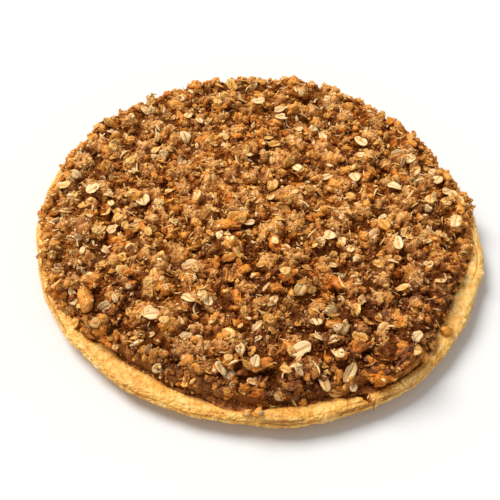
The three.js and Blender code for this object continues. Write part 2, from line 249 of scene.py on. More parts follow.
    def lump_height(self, lumps: list[Lump], x: Array, y: Array) -> Array:
        """Returns the height that the lumps add at each point."""
        height = np.zeros_like(x)
        for lump in lumps:
            reach = np.hypot(x - lump.x, y - lump.y) / lump.radius
            inside = reach < 1.0
            cap = lump.height * np.sqrt(1.0 - reach[inside] ** 2)
            height[inside] = np.maximum(height[inside], cap)
        return height * self.edge_fade_at(x, y)

    def rim_surface(self, azimuth: Array, radius: Array) -> Array:
        """Returns the height of what carries the heap's edge: the filling, or the rim where it spills."""
        inner, outer, top = self.inner(azimuth), self.outer(azimuth), self.rim_top(azimuth)
        climb = smoothstep((radius - inner + 1.4) / 1.8)
        fall = np.clip((radius - outer + 2.8) / 2.2, 0.0, 1.0)
        rim = top - 0.5 - 2.4 * fall ** 2
        return self.filling_level + (rim - self.filling_level) * climb

    def _darts(self, count: int, spacing: float, taken: list, draw: RepeatedDraw) -> list[tuple[float, float]]:
        """Throws seeded darts on the heap and keeps those that are clear of all earlier ones."""
        places: list[tuple[float, float]] = []
        tries = 0
        while len(places) < count and tries < 60 * count:
            azimuth = 2.0 * math.pi * draw.unit()
            reach = float(self.reach(np.array(azimuth))) - 3.0
            radius = reach * math.sqrt(draw.unit())
            place = (radius * math.cos(azimuth), radius * math.sin(azimuth))
            if all(math.dist(place, other) > spacing for other in taken):
                places.append(place)
                taken.append(place)
            tries += 1
        return places

    def _hills_at(self, x: Array, y: Array) -> Array:
        """Returns the height of the rolling hills, whose turns are their lengths in mm."""
        height = np.zeros_like(x)
        for hill in self.hills:
            heading = math.radians(hill.phase)
            along = x * math.cos(heading) + y * math.sin(heading)
            height = height + hill.height * np.cos(2.0 * math.pi * along / hill.turns)
        return height

    @staticmethod
    def _round_waves(waves: tuple[Wave, ...], azimuth: Array) -> Array:
        """Returns the sum of the waves that run round the tart."""
        return sum(w.height * np.cos(w.turns * azimuth + math.radians(w.phase)) for w in waves)


# Small tools for meshes


def fractal(points: Array, size: float, octaves: int, seed: float) -> Array:
    """Fractal noise about -1 to 1 at each point.

    Args:
        points: places in mm, one a row.
        size: the largest feature, in mm.
        octaves: how many finer layers it has.
        seed: shifts the pattern.

    Returns:
        One value a point.
    """
    shift = Vector((seed * 11.3, seed * 5.7, seed * 7.9))
    return np.array([noise.fractal(Vector(p) / size + shift, 0.8, 2.0, octaves) for p in points])


@dataclass
class Cells:
    """Places split into cells round random middles, with one row for each place.

    It holds how far the nearest middle is, how much further the next one is, the step from the nearest middle
    to the place, and the cell's three own numbers from 0 to 1.
    """

    away: Array
    gap: Array
    step: Array
    own: Array

    @staticmethod
    def around(places: Array, seed: float) -> "Cells":
        """Splits places into cells that are about 1 across; the seed shifts the pattern."""
        shift = np.array([seed * 3.1, seed * 9.7, seed * 6.3])
        near = [noise.voronoi(Vector(place)) for place in places + shift]
        distances = np.array([away[:2] for away, _ in near])
        middles = np.array([tuple(homes[0]) for _, homes in near])
        mixed = middles @ np.array([[12.99, 39.35, 73.16], [78.23, 11.14, 52.24], [37.71, 83.16, 9.15]])
        own = np.abs(np.sin(mixed) * 43758.5) % 1.0
        return Cells(distances[:, 0], distances[:, 1] - distances[:, 0], places + shift - middles, own)


def granules(points: Array, size: float, seed: float) -> Array:
    """Rounded grains of about a size in mm: 0 in the seams between them, and up to 1 on their tops."""
    return np.sqrt(np.clip(Cells.around(points / size, seed).gap * 1.6, 0.0, 1.0))


def nodules(points: Array, size: float, seed: float) -> Array:
    """Domes of about a size in mm, each with a height of its own: 0 in the creases and up to 1 on their tops."""
    cells = Cells.around(points / size, seed)
    return np.sqrt(np.clip(1.0 - (cells.away / 0.95) ** 2, 0.0, 1.0)) * (0.35 + 0.65 * cells.own[:, 0])


def chips(points: Array, size: float, seed: float) -> Array:
    """Flat chips of about a size in mm, each with its own level and tilt, from about -0.7 to 0.7."""
    cells = Cells.around(points / size, seed)
    return 0.8 * (cells.own[:, 0] - 0.5) + 1.8 * np.sum((cells.own - 0.5) * cells.step, axis=1)


def scales(places: Array, seed: float) -> Arrays:
    """Flat scales that overlap like flakes, each at a level of its own.

    Args:
        places: places where one scale is about 1 across, one a row.
        seed: shifts the pattern.

    Returns:
        Each point's level from 0 to 1, and how far it is from its scale's edge.
    """
    cells = Cells.around(places, seed)
    return np.clip(cells.own[:, 0] + cells.step @ np.array([0.2, -0.3, 0.55]), 0.0, 1.0), cells.gap


def round_band(azimuth: Array, along: Array, length: float, width: float) -> Array:
    """Places for a pattern that runs round the rim without a seam.

    Args:
        azimuth: angles in radians.
        along: how far each point is along the rim's section, in mm.
        length: the pattern's length round the tart, in mm.
        width: the pattern's width along the section, in mm.

    Returns:
        Three numbers a point, one point a row.
    """
    turn = 120.0 / length
    band = np.stack([turn * np.cos(azimuth), turn * np.sin(azimuth), along / width], axis=-1)
    return band.reshape(-1, 3)


def solid_mesh(name: str, points: Array, faces: Array) -> bpy.types.Mesh:
    """Makes a triangle mesh in metres.

    Args:
        name: the mesh's name.
        points: corners in mm, one a row.
        faces: three corner numbers a row.

    Returns:
        The new mesh.
    """
    mesh = bpy.data.meshes.new(name)
    mesh.vertices.add(len(points))
    mesh.vertices.foreach_set("co", (points * MM).astype(np.float32).ravel())
    mesh.loops.add(faces.size)
    mesh.loops.foreach_set("vertex_index", faces.astype(np.int32).ravel())
    mesh.polygons.add(len(faces))
    mesh.polygons.foreach_set("loop_start", np.arange(0, faces.size, 3, dtype=np.int32))
    mesh.update(calc_edges=True)
    mesh.validate()
    return mesh


def mesh_points(mesh: bpy.types.Mesh) -> Array:
    """Returns a mesh's corners in mm, one a row."""
    points = np.zeros(3 * len(mesh.vertices), dtype=np.float32)
    mesh.vertices.foreach_get("co", points)
    return points.reshape(-1, 3).astype(float) / MM


def mesh_faces(mesh: bpy.types.Mesh) -> Array:
    """Returns a triangle mesh's corner numbers, three a row."""
    corners = np.zeros(len(mesh.loops), dtype=np.int32)
    mesh.loops.foreach_get("vertex_index", corners)
    return corners.reshape(-1, 3)


def set_attribute(mesh: bpy.types.Mesh, name: str, values: Array) -> None:
    """Stores one number a corner under a name."""
    attribute = mesh.attributes.get(name) or mesh.attributes.new(name, "FLOAT", "POINT")
    attribute.data.foreach_set("value", np.asarray(values, dtype=np.float32))


def link_object(name: str, mesh: bpy.types.Mesh) -> bpy.types.Object:
    """Puts a mesh in the scene as an object at the origin."""
    thing = bpy.data.objects.new(name, mesh)
    bpy.context.scene.collection.objects.link(thing)
    return thing


def ring_disc(rings: int) -> tuple[Array, Array, Array]:
    """A disc of rings, each with six more points than the last.

    Args:
        rings: how many rings there are.

    Returns:
        The radius of each point from 0 to 1, its azimuth in radians, and the faces, seen from above.
    """
    ring_of = np.concatenate([[0]] + [np.full(6 * k, k) for k in range(1, rings + 1)])
    place = np.concatenate([[0]] + [np.arange(6 * k) for k in range(1, rings + 1)])
    azimuth = 2.0 * math.pi * place / np.maximum(6 * ring_of, 1)
    faces = []
    for ring in range(1, rings + 1):
        i = np.arange(6 * ring)
        outer = 1 + 3 * ring * (ring - 1) + i
        outer_next = 1 + 3 * ring * (ring - 1) + (i + 1) % (6 * ring)
        inside = i - i // ring
        count = max(6 * (ring - 1), 1)
        start = 1 + 3 * (ring - 1) * (ring - 2) if ring > 1 else 0
        inner = start + inside % count
        inner_next = start + (inside + 1) % count
        faces.append(np.stack([outer, outer_next, inner], axis=1))
        between = i % ring < ring - 1
        faces.append(np.stack([inner, outer_next, inner_next], axis=1)[between])
    return ring_of / rings, azimuth, np.concatenate(faces)


def ico_ball(subdivisions: int) -> Arrays:
    """Returns the corners and faces of a unit ball of even triangles."""
    ball = bmesh.new()
    bmesh.ops.create_icosphere(ball, subdivisions=subdivisions, radius=1.0)
    points = np.array([v.co[:] for v in ball.verts])
    faces = np.array([[v.index for v in f.verts] for f in ball.faces])
    ball.free()
    return points, faces


# Node trees


class Sheet:
    """Short calls that fill a node tree."""

    def __init__(self, tree: bpy.types.NodeTree) -> None:
        """Keeps the tree to fill."""
        self.tree = tree

    def add(self, kind: str, values: dict | None = None, **settings: object) -> bpy.types.Node:
        """Adds a node.

        Args:
            kind: the node's type name.
            values: socket name to a constant, or to the output socket that feeds it.
            **settings: the node's own properties.

        Returns:
            The new node.
        """
        node = self.tree.nodes.new(kind)
        for key, value in settings.items():
            setattr(node, key, value)
        for name, value in (values or {}).items():
            self.feed(self.socket(node.inputs, name), value)
        return node

    def feed(self, target: bpy.types.NodeSocket, value: object) -> None:
        """Links an output socket to an input, or sets the input's constant."""
        if isinstance(value, bpy.types.NodeSocket):
            self.tree.links.new(value, target)
        else:
            target.default_value = value

    @staticmethod
    def socket(sockets: bpy.types.bpy_prop_collection, name: str) -> bpy.types.NodeSocket:
        """Returns the socket in use with a name, or with a number written as text after the name."""
        plain, _, number = name.partition("#")
        found = [s for s in sockets if s.name == plain and s.enabled]
        return found[int(number or 0)]

    def out(self, node: bpy.types.Node, name: str = "") -> bpy.types.NodeSocket:
        """Returns a node's output socket by name, or its first one in use."""
        if name:
            return self.socket(node.outputs, name)
        return next(s for s in node.outputs if s.enabled)

    def math(self, operation: str, *values: object) -> bpy.types.NodeSocket:
        """Adds a Math node of an operation on up to three values and returns its result."""
        node = self.add("ShaderNodeMath", operation=operation)
        for target, value in zip(node.inputs, values):
            self.feed(target, value)
        return node.outputs[0]

    def ramp(self, value: object, stops: tuple[tuple[float, tuple[float, float, float]], ...]) -> object:
        """Adds a Color Ramp with the given stops and returns its colour."""
        node = self.add("ShaderNodeValToRGB")
        elements = node.color_ramp.elements
        while len(elements) < len(stops):
            elements.new(0.5)
        for element, (place, colour) in zip(elements, stops):
            element.position = place
            element.color = (*colour, 1.0)
        self.feed(node.inputs["Fac"], value)
        return node.outputs["Color"]

    def mix(self, factor: object, first: object, second: object, blend: str = "MIX") -> object:
        """Adds a colour mix and returns its colour. Plain colours are given as three numbers."""
        node = self.add("ShaderNodeMix", data_type="RGBA", blend_type=blend, clamp_factor=True)
        self.feed(self.socket(node.inputs, "Factor"), factor)
        for name, value in (("A", first), ("B", second)):
            self.feed(self.socket(node.inputs, name), (*value, 1.0) if isinstance(value, tuple) else value)
        return self.socket(node.outputs, "Result")


def baked_grain_group() -> bpy.types.NodeTree:
    """Makes the shared group of baked grain: patches, broad drifts, fine grit and a height for bumps.

    Returns:
        A shader node group with a Patch Size and a Grit Size in mm, and Patches, Drift, Grit and Height outputs.
    """
    group = bpy.data.node_groups.new("Baked grain", "ShaderNodeTree")
    for name, size in (("Patch Size", 5.0), ("Grit Size", 0.8)):
        socket = group.interface.new_socket(name, in_out="INPUT", socket_type="NodeSocketFloat")
        socket.default_value = size
    for name in ("Patches", "Drift", "Grit", "Height"):
        group.interface.new_socket(name, in_out="OUTPUT", socket_type="NodeSocketFloat")
    sheet = Sheet(group)
    given = sheet.add("NodeGroupInput")
    where = sheet.add("ShaderNodeTexCoord").outputs["Object"]
    patch_scale = sheet.math("DIVIDE", 1.0 / MM, given.outputs["Patch Size"])
    drift_scale = sheet.math("MULTIPLY", patch_scale, 0.2)
    grit_scale = sheet.math("DIVIDE", 1.0 / MM, given.outputs["Grit Size"])
    patches = sheet.add("ShaderNodeTexNoise", {"Vector": where, "Scale": patch_scale, "Detail": 3.0})
    drift = sheet.add("ShaderNodeTexNoise", {"Vector": where, "Scale": drift_scale, "Detail": 2.0})
    grit = sheet.add("ShaderNodeTexNoise", {"Vector": where, "Scale": grit_scale, "Detail": 4.0})
    cells = sheet.add("ShaderNodeTexVoronoi", {"Vector": where, "Scale": grit_scale})
    beads = sheet.math("MULTIPLY", cells.outputs["Distance"], -0.8)
    height = sheet.math("ADD", beads, grit.outputs[0])
    result = sheet.add("NodeGroupOutput")
    for name, value in (("Patches", patches.outputs[0]), ("Drift", drift.outputs[0]),
                        ("Grit", grit.outputs[0]), ("Height", height)):
        sheet.feed(result.inputs[name], value)
    return group


Colour = tuple[float, float, float]
Stops = tuple[tuple[float, Colour], ...]


class Finish:
    """A material with baked grain, made once."""

    name = "plain"

    def __init__(self, grain: bpy.types.NodeTree) -> None:
        """Makes the material and dresses it."""
        self.material = bpy.data.materials.new(self.name)
        self.material.use_nodes = True
        self.sheet = Sheet(self.material.node_tree)
        self.shader = self.material.node_tree.nodes["Principled BSDF"]
        self.grain = grain
        self.dress()

    def dress(self) -> None:
        """Fills the material's node tree."""

    def grain_node(self, patch: float, grit: float) -> bpy.types.Node:
        """Adds the baked grain at a patch size and a grit size in mm."""
        node = self.sheet.add("ShaderNodeGroup", node_tree=self.grain)
        node.inputs["Patch Size"].default_value = patch
        node.inputs["Grit Size"].default_value = grit
        return node

    def attribute(self, name: str) -> bpy.types.NodeSocket:
        """Reads one of the mesh's stored numbers."""
        return self.sheet.add("ShaderNodeAttribute", attribute_name=name).outputs["Fac"]

    def swing(self, value: object, share: float) -> bpy.types.NodeSocket:
        """Returns a noise value as a swing to both sides of zero."""
        return self.sheet.math("MULTIPLY_ADD", value, share, -0.5 * share)

    def past(self, value: object, edge: float, steepness: float) -> bpy.types.NodeSocket:
        """Returns 0 below an edge, rising to 1 above it."""
        above = self.sheet.math("SUBTRACT", value, edge)
        node = self.sheet.add("ShaderNodeMath", operation="MULTIPLY", use_clamp=True)
        self.sheet.feed(node.inputs[0], above)
        self.sheet.feed(node.inputs[1], steepness)
        return node.outputs[0]

    def bump(self, height: bpy.types.NodeSocket, depth: float, strength: float) -> None:
        """Feeds the shader's normal with a bump of a depth in mm."""
        node = self.sheet.add("ShaderNodeBump", {"Height": height, "Distance": depth * MM, "Strength": strength})
        self.sheet.feed(self.shader.inputs["Normal"], node.outputs["Normal"])

    def set(self, **values: float) -> None:
        """Sets the shader's constants, with underscores for spaces."""
        for key, value in values.items():
            self.shader.inputs[key.replace("_", " ")].default_value = value


class PastryFinish(Finish):
    """Golden shortcrust: painted highlight on raised tops, painted shade in hollows, dark seams, and stains by the
    filling.
    """

    name = "golden_shortcrust"
    colours: Stops = (
        (0.10, (0.66, 0.27, 0.036)),
        (0.32, (0.84, 0.42, 0.075)),
        (0.52, (0.91, 0.54, 0.135)),
        (0.78, (0.95, 0.67, 0.270)),
    )
    stain: Colour = (0.36, 0.105, 0.016)
    # dark seam colour: browning along cracks and seams, with painted shade in the seams and grooves
    crack: Colour = (0.42, 0.150, 0.030)

    def dress(self) -> None:
        """Colours the pastry by its patches, its height as painted light and shade, its cracks and the nearness of the
        filling.
        """
        sheet = self.sheet
        grain = self.grain_node(3.6, 0.75)
        # painted light: raised relief is made paler and hollows darker
        tone = sheet.math("ADD", self.swing(grain.outputs["Patches"], 1.0), self.attribute("relief"))
        tone = sheet.math("ADD", tone, self.swing(grain.outputs["Grit"], 0.55))
        # darker where browned, and brighter on the right side as painted light
        tone = sheet.math("MULTIPLY_ADD", self.attribute("bake"), -0.2, tone)
        golden = sheet.ramp(tone, self.colours)
        # dark seam colour, partly painted shade in the seams and grooves
        cracked = sheet.mix(self.attribute("crack"), golden, self.crack)
        stained = sheet.mix(self.attribute("stain"), cracked, self.stain)
        sheet.feed(self.shader.inputs["Base Color"], stained)
        self.set(Roughness=0.5, Specular_IOR_Level=0.35)
        self.bump(grain.outputs["Height"], 0.35, 0.6)


class FillingFinish(Finish):
    """Dark moist apple filling, cooked to caramel at the edge."""

    name = "caramel_filling"
    colours: Stops = ((0.32, (0.10, 0.022, 0.002)), (0.5, (0.30, 0.080, 0.008)), (0.68, (0.52, 0.190, 0.030)))

    def dress(self) -> None:
        """Mottles the filling from near black to amber, with a wet gloss."""
        grain = self.grain_node(2.2, 0.9)
        tone = self.sheet.math("ADD", grain.outputs["Patches"], self.swing(grain.outputs["Grit"], 0.5))
        self.sheet.feed(self.shader.inputs["Base Color"], self.sheet.ramp(tone, self.colours))
        self.set(Roughness=0.4, Specular_IOR_Level=0.3)
        self.bump(grain.outputs["Height"], 0.6, 0.7)


class HeapFinish(Finish):
    """A heap finish: a ramp by tone, painted shade in crevices, painted highlight on crests, damp and shaded patches.
    """

    colours: Stops = ()
    # painted shade: this tint is multiplied into crevices, by how far a point lies below the surface round it
    low: Colour = (0.29, 0.132, 0.014)
    # tint for moisture, also used as painted shade in the bank on the near right side
    moist: Colour = (0.52, 0.420, 0.400)
    dusty: Colour = (0.37, 0.165, 0.072)
    caramel: Colour = (0.92, 0.740, 0.480)
    dusty_share: float = 0.75
    dusty_start: float = 0.38
    caramel_share: float = 0.35
    crevice_shade_share: float = 0.92
    moist_shade_share: float = 0.85
    own_share: float = 0.6
    grit_share: float = 1.1
    crest_highlight_share: float = 0.45
    patch_size: float = 2.6
    grit_size: float = 0.9
    bump_depth: float = 0.9
    dry_roughness: float = 0.6
    gloss: float = 0.5

    def dress(self) -> None:
        """Colours by tone and grit, paints shade in crevices and highlight on crests, darkens damp spots, glazes
        crests.
        """
        sheet = self.sheet
        grain = self.grain_node(self.patch_size, self.grit_size)
        own = self.attribute("tone")
        spread = self.swing(grain.outputs["Patches"], 1.2)
        crest = self.attribute("crest")
        tone = sheet.math("MULTIPLY_ADD", own, self.own_share, 0.82 - 0.55 * self.own_share)
        tone = sheet.math("ADD", tone, sheet.math("ADD", spread, self.swing(grain.outputs["Grit"], self.grit_share)))
        # painted highlight: tone rises on crests and falls in crevices
        tone = sheet.math("ADD", tone, self.swing(crest, self.crest_highlight_share))
        tone = sheet.math("ADD", tone, self.swing(grain.outputs["Drift"], 1.0))
        tone = sheet.math("ADD", tone, self.attribute("toast"))
        drift = sheet.math("ADD", grain.outputs["Drift"], self.swing(self._lot(own), 0.06))
        damp_and_shade = self.attribute("moist")
        browned = sheet.math("MULTIPLY_ADD", tone, -0.4, sheet.math("MULTIPLY_ADD", damp_and_shade, 0.24, drift))
        browned = sheet.math("ADD", browned, self.swing(crest, -0.4))
        browned = self.past(browned, self.dusty_start, 8.0)
        dusted = sheet.mix(sheet.math("MULTIPLY", browned, self.dusty_share), self.toasted(tone), self.dusty)
        under = sheet.math("SUBTRACT", 1.0, drift)
        glazed = self._tinted(dusted, self.past(under, 0.54, 8.0), self.caramel_share, self.caramel)
        flaked = self.flaked(glazed, grain)
        # painted shade: crevices are darkened with the low tint
        depth = sheet.math("SUBTRACT", 1.0, crest)
        crevice_shaded = self._tinted(flaked, depth, self.crevice_shade_share, self.low)
        # moisture darkening, together with painted shade in the bank on the near right side
        moist_shaded = self._tinted(crevice_shaded, damp_and_shade, self.moist_shade_share, self.moist)
        sheet.feed(self.shader.inputs["Base Color"], moist_shaded)
        sparkle = sheet.math("MULTIPLY", crest, self.past(grain.outputs["Grit"], 0.50, 8.0))
        glaze = sheet.math("MULTIPLY", sheet.math("MULTIPLY_ADD", damp_and_shade, 0.8, self.gloss), sparkle)
        sheet.feed(self.shader.inputs["Coat Weight"], glaze)
        self.set(Roughness=self.dry_roughness, Specular_IOR_Level=0.02, Coat_Roughness=0.2)
        self.bump(grain.outputs["Height"], self.bump_depth, 0.8)

    def toasted(self, tone: bpy.types.NodeSocket) -> bpy.types.NodeSocket:
        """Returns the colour for a tone."""
        return self.sheet.ramp(tone, self.colours)

    def flaked(self, colour: bpy.types.NodeSocket, grain: bpy.types.Node) -> bpy.types.NodeSocket:
        """Returns the colour with any oats that are baked into the piece."""
        return colour

    def _tinted(self, colour: object, value: object, share: float, tint: Colour) -> object:
        """Returns the colour multiplied by a tint, as far as a value times a share says."""
        return self.sheet.mix(self.sheet.math("MULTIPLY", value, share), colour, tint, "MULTIPLY")

    def _lot(self, own: bpy.types.NodeSocket) -> bpy.types.NodeSocket:
        """Returns a second random number for each piece, drawn from its tone."""
        return self.sheet.math("FRACT", self.sheet.math("MULTIPLY", own, 37.31))


class BedFinish(HeapFinish):
    """The sticky ground between the clumps."""

    name = "crumble_bed"
    own_share = 1.0
    dusty_start = 0.30
    colours: Stops = (
        (0.0, (0.37, 0.124, 0.024)), (0.28, (0.63, 0.240, 0.050)), (0.5, (0.80, 0.336, 0.084)),
        (0.75, (0.93, 0.415, 0.098)), (1.0, (0.96, 0.490, 0.150)),
    )


class ClumpFinish(HeapFinish):
    """Toasted clumps of flour, butter and sugar with oats baked into them."""

    name = "toasted_clumps"
    own_share = 0.8
    colours: Stops = (
        (0.0, (0.45, 0.128, 0.016)), (0.25, (0.77, 0.240, 0.027)), (0.5, (0.96, 0.346, 0.052)),
        (0.75, (0.99, 0.400, 0.066)), (1.0, (1.0, 0.452, 0.094)),
    )
    flakes: Stops = (
        (0.25, (0.80, 0.380, 0.070)), (0.6, (0.93, 0.570, 0.170)), (1.0, (0.96, 0.710, 0.360)),
    )

    def flaked(self, colour: bpy.types.NodeSocket, grain: bpy.types.Node) -> bpy.types.NodeSocket:
        """Returns the dough's colour with the baked-in oats over it."""
        oat = self.attribute("oat")
        tone = self.sheet.math("ADD", oat, self.swing(grain.outputs["Grit"], 0.4))
        return self.sheet.mix(self.past(oat, 0.1, 8.0), colour, self.sheet.ramp(tone, self.flakes))


class CrumbFinish(HeapFinish):
    """Fine loose crumbs, more mixed in colour than the clumps."""

    name = "loose_crumbs"
    crevice_shade_share = 0.6
    colours: Stops = (
        (0.0, (0.41, 0.127, 0.008)), (0.35, (0.74, 0.290, 0.032)), (0.65, (0.89, 0.455, 0.100)),
        (1.0, (0.95, 0.630, 0.250)),
    )


class OatFinish(HeapFinish):
    """Rolled oats, from toasted gold to pale straw."""

    name = "rolled_oats"
    own_share = 1.0
    moist_shade_share = 0.15
    dusty_share = 0.15
    caramel_share = 0.35
    crevice_shade_share = 0.3
    grit_share = 0.7
    crest_highlight_share = 0.1
    patch_size = 2.4
    bump_depth = 0.3
    crease: Colour = (0.70, 0.480, 0.300)
    colours: Stops = (
        (0.0, (0.56, 0.205, 0.028)), (0.35, (0.82, 0.400, 0.080)), (0.6, (0.91, 0.535, 0.150)),
        (0.85, (0.94, 0.620, 0.240)), (1.0, (0.96, 0.710, 0.370)),
    )

    def flaked(self, colour: bpy.types.NodeSocket, grain: bpy.types.Node) -> bpy.types.NodeSocket:
        """Returns the oat's colour, browned along its crease and its edge."""
        return self._tinted(colour, self.attribute("oat"), 1.0, self.crease)


# The pastry shell


@dataclass(frozen=True)
class Groove:
    """A crease that runs round the rim's top: how far in it is, its depth and width in mm, and its share shown."""

    inset: float
    depth: float
    width: float
    wander: float
    shown: float
    seed: float


@dataclass
class ShortcrustShell:
    """The baked shell: flat underside, flared wall, layered lip, uneven rim and the wall inside."""

    form: TartForm
    segments: int = 1380
    step: float = 0.42
    coarse_step: float = 6.0
    broad_relief: float = 0.35
    layer_relief: float = 0.12
    scale_relief: float = 0.28
    flake_relief: float = 0.24
    bead_relief: float = 0.42
    fine_relief: float = 0.18
    grooves: tuple[Groove, ...] = (
        Groove(2.9, 0.4, 0.28, 0.5, 0.22, 1), Groove(4.6, 0.4, 0.3, 0.6, 0.15, 2), Groove(1.1, 0.4, 0.3, 0.3, 0.45, 3),
    )
    proud_flakes: Table = ((-8, 1.3), (-128, 0.8), (-97, 0.6), (-72, 0.7), (-30, 0.6), (33, 0.8), (152, 0.8))
    # oven browning round the rim; the values below zero on the right side paint light onto the rim there
    browning_and_painted_light: Table = (
        (-170, 0.2), (-130, 0.25), (-105, 0.5), (-60, 0.5), (-30, -0.3), (20, -0.3), (90, 0.4), (150, 0.3),
    )

    def section(self, azimuth: float) -> Array:
        """The shell's section at one azimuth.

        Args:
            azimuth: angle in radians.

        Returns:
            Radius and height pairs from the underside's edge, out, over the rim and down inside.
        """
        form, at = self.form, np.array(azimuth)
        outer, inner, top = float(form.outer(at)), float(form.inner(at)), float(form.rim_top(at))
        lip = form.rim_height - form.lip_height
        seam = form.rim_height - 0.45 * form.lip_height
        return np.array([
            (form.base_radius, 0.0), (form.base_radius + 2, 1.0),
            (outer - form.lip_undercut, lip - 1.6), (outer - 0.6, lip - 0.2), (outer, lip + 1.4),
            (outer - 0.2, seam - 0.5), (outer - form.seam_depth - 0.2, seam), (outer - 0.5, seam + 0.5),
            (outer - 1.1, top - 1.1), (outer - 2.8, top), ((outer + inner) / 2 - 0.8, top - 0.1),
            (inner, top - 0.8), (inner - 1.4, form.filling_level - 1.4),
            (form.base_radius - 5, form.floor_thickness + 1.6), (form.base_radius - 8, form.floor_thickness),
        ])

    def row_places(self) -> Array:
        """Where the mesh's rows lie along the section: close on the rim, far apart under and inside it."""
        corners = self.section(0.0)
        runs = np.hypot(*np.diff(corners, axis=0).T)
        fine = range(2, 12)
        places = [0.0]
        for i, run in enumerate(runs):
            step = self.step if i in fine else self.coarse_step
            count = max(1, round(run / step))
            places += [i + (k + 1) / count for k in range(count)]
        return np.array(places)

    def build(self, finish: PastryFinish) -> bpy.types.Object:
        """Makes the shell's mesh with its relief and stored numbers.

        Args:
            finish: the shortcrust material.

        Returns:
            The shell as one closed piece.
        """
        rows = self.row_places()
        azimuths = 2.0 * math.pi * np.arange(self.segments) / self.segments
        radius = np.zeros((self.segments, len(rows)))
        height = np.zeros_like(radius)
        for i, azimuth in enumerate(azimuths):
            corners = self.section(azimuth)
            radius[i] = self._rounded(rows, corners[:, 0])
            height[i] = self._rounded(rows, corners[:, 1])
        around = np.repeat(azimuths[:, None], len(rows), axis=1)
        relief, crack = self._relief(around, radius, height, rows)
        radius, height = self._along_normals(radius, height, relief)
        opened = self._open_cracks(around, radius, height)
        points = np.stack([radius * np.cos(around), radius * np.sin(around), height], axis=-1).reshape(-1, 3)
        centres = np.array([[0.0, 0.0, 0.0], [0.0, 0.0, self.form.floor_thickness]])
        mesh = solid_mesh("shortcrust_shell", np.vstack([points, centres]), self._faces(len(rows)))
        stored = {
            # relief feeds painted highlight on raised parts and painted shade in hollows
            "relief": np.clip(0.5 + 0.42 * relief, 0.0, 1.0), "crack": np.maximum(crack, opened),
            "stain": np.maximum(self._stain(around, radius, height), opened),
            # browning, with painted light on the right side of the rim
            "bake": read_round(self.browning_and_painted_light, around),
        }
        for name, values in stored.items():
            set_attribute(mesh, name, np.append(values.ravel(), [0.5, 0.5]))
        mesh.materials.append(finish.material)
        mesh.shade_smooth()
        return link_object("shortcrust_shell", mesh)

    def _rounded(self, rows: Array, values: Array) -> Array:
        """Reads values along the section with softly rounded corners."""
        reach = 0.28
        near = [np.interp(rows + shift, np.arange(len(values)), values) for shift in (-reach, 0.0, reach)]
        held = rows < 1.0
        return np.where(held, near[1], 0.25 * near[0] + 0.5 * near[1] + 0.25 * near[2])

    def _relief(self, around: Array, radius: Array, height: Array, rows: Array) -> Arrays:
        """Works out how far each point stands out of the smooth section, and its share of the dark seam colour.

        Args:
            around: azimuths in radians.
            radius: radii in mm.
            height: heights in mm.
            rows: each row's place along the section.

        Returns:
            The relief in mm, and the share of dark seam colour from 0 to 1, on cracks, seams and grooves.
        """
        steps = np.hypot(np.diff(radius[0], prepend=radius[0, 0]), np.diff(height[0], prepend=height[0, 0]))
        along = np.repeat(np.cumsum(steps)[None, :], len(around), axis=0)
        points = np.stack([radius * np.cos(around), radius * np.sin(around), height], axis=-1).reshape(-1, 3)
        bent = 0.8 * fractal(points, 5.0, 2, 9.0).reshape(radius.shape)
        scale_level, scale_gap = scales(round_band(around, along + bent, 5.0, 3.4), 1.0)
        flake_level, flake_gap = scales(round_band(around, along + bent, 2.0, 1.5), 2.0)
        layered = fractal(round_band(around, along, 6.0, 1.8), 1.0, 3, 2.0)
        beads = granules(points, 2.0, 3.0) - 0.6
        relief = (self.broad_relief * fractal(points, 9.0, 3, 1.0) + self.layer_relief * layered
                  + self.scale_relief * (scale_level - 0.5) + self.flake_relief * (flake_level - 0.5)
                  + self.bead_relief * beads + self.fine_relief * fractal(points, 1.3, 3, 4.0))
        seam = np.clip(1.0 - scale_gap / 0.12, 0.0, 1.0)
        relief = (relief - 0.25 * seam).reshape(radius.shape)
        crack = np.maximum(seam, 0.5 * np.clip(1.0 - flake_gap / 0.1, 0.0, 1.0)).reshape(radius.shape)
        grooved, groove_share = self._grooves(around, radius, height)
        on_rim = np.clip(np.minimum((rows - 1.6) * 1.5, (12.4 - rows) * 1.5), 0.0, 1.0)
        relief = relief + grooved + self._proud(around, height)
        patchy = smoothstep(0.5 + 1.2 * fractal(points, 14.0, 2, 6.0)).reshape(radius.shape)
        # dark seam colour on seams and grooves: partly browning, partly painted shade in these creases
        crack = np.maximum(0.45 * crack * patchy, groove_share) * on_rim
        return relief * (0.12 + 0.88 * on_rim) * (rows > 1.0), crack

    def _grooves(self, around: Array, radius: Array, height: Array) -> Arrays:
        """Returns the depth below the rim's top of the creases that run round it, and their share."""
        relief = np.zeros_like(radius)
        share = np.zeros_like(radius)
        line = around[:, 0]
        inset = self.form.outer(around) - radius
        on_top = np.clip((height - self.form.rim_height + 3.2) / 1.0, 0.0, 1.0)
        for groove in self.grooves:
            wander = groove.wander * fractal(round_band(line, line * 0, 22.0, 1.0), 1.0, 3, groove.seed)
            shown = fractal(round_band(line, line * 0, 30.0, 1.0), 1.0, 2, groove.seed + 20.0)
            open_share = smoothstep((shown - 0.9 * (0.5 - groove.shown)) / 0.25 + 0.5)
            across = (inset - (groove.inset + wander)[:, None]) / groove.width
            here = np.exp(-across ** 2) * open_share[:, None] * on_top
            relief -= groove.depth * here
            share = np.maximum(share, 0.85 * here)
        return relief, share

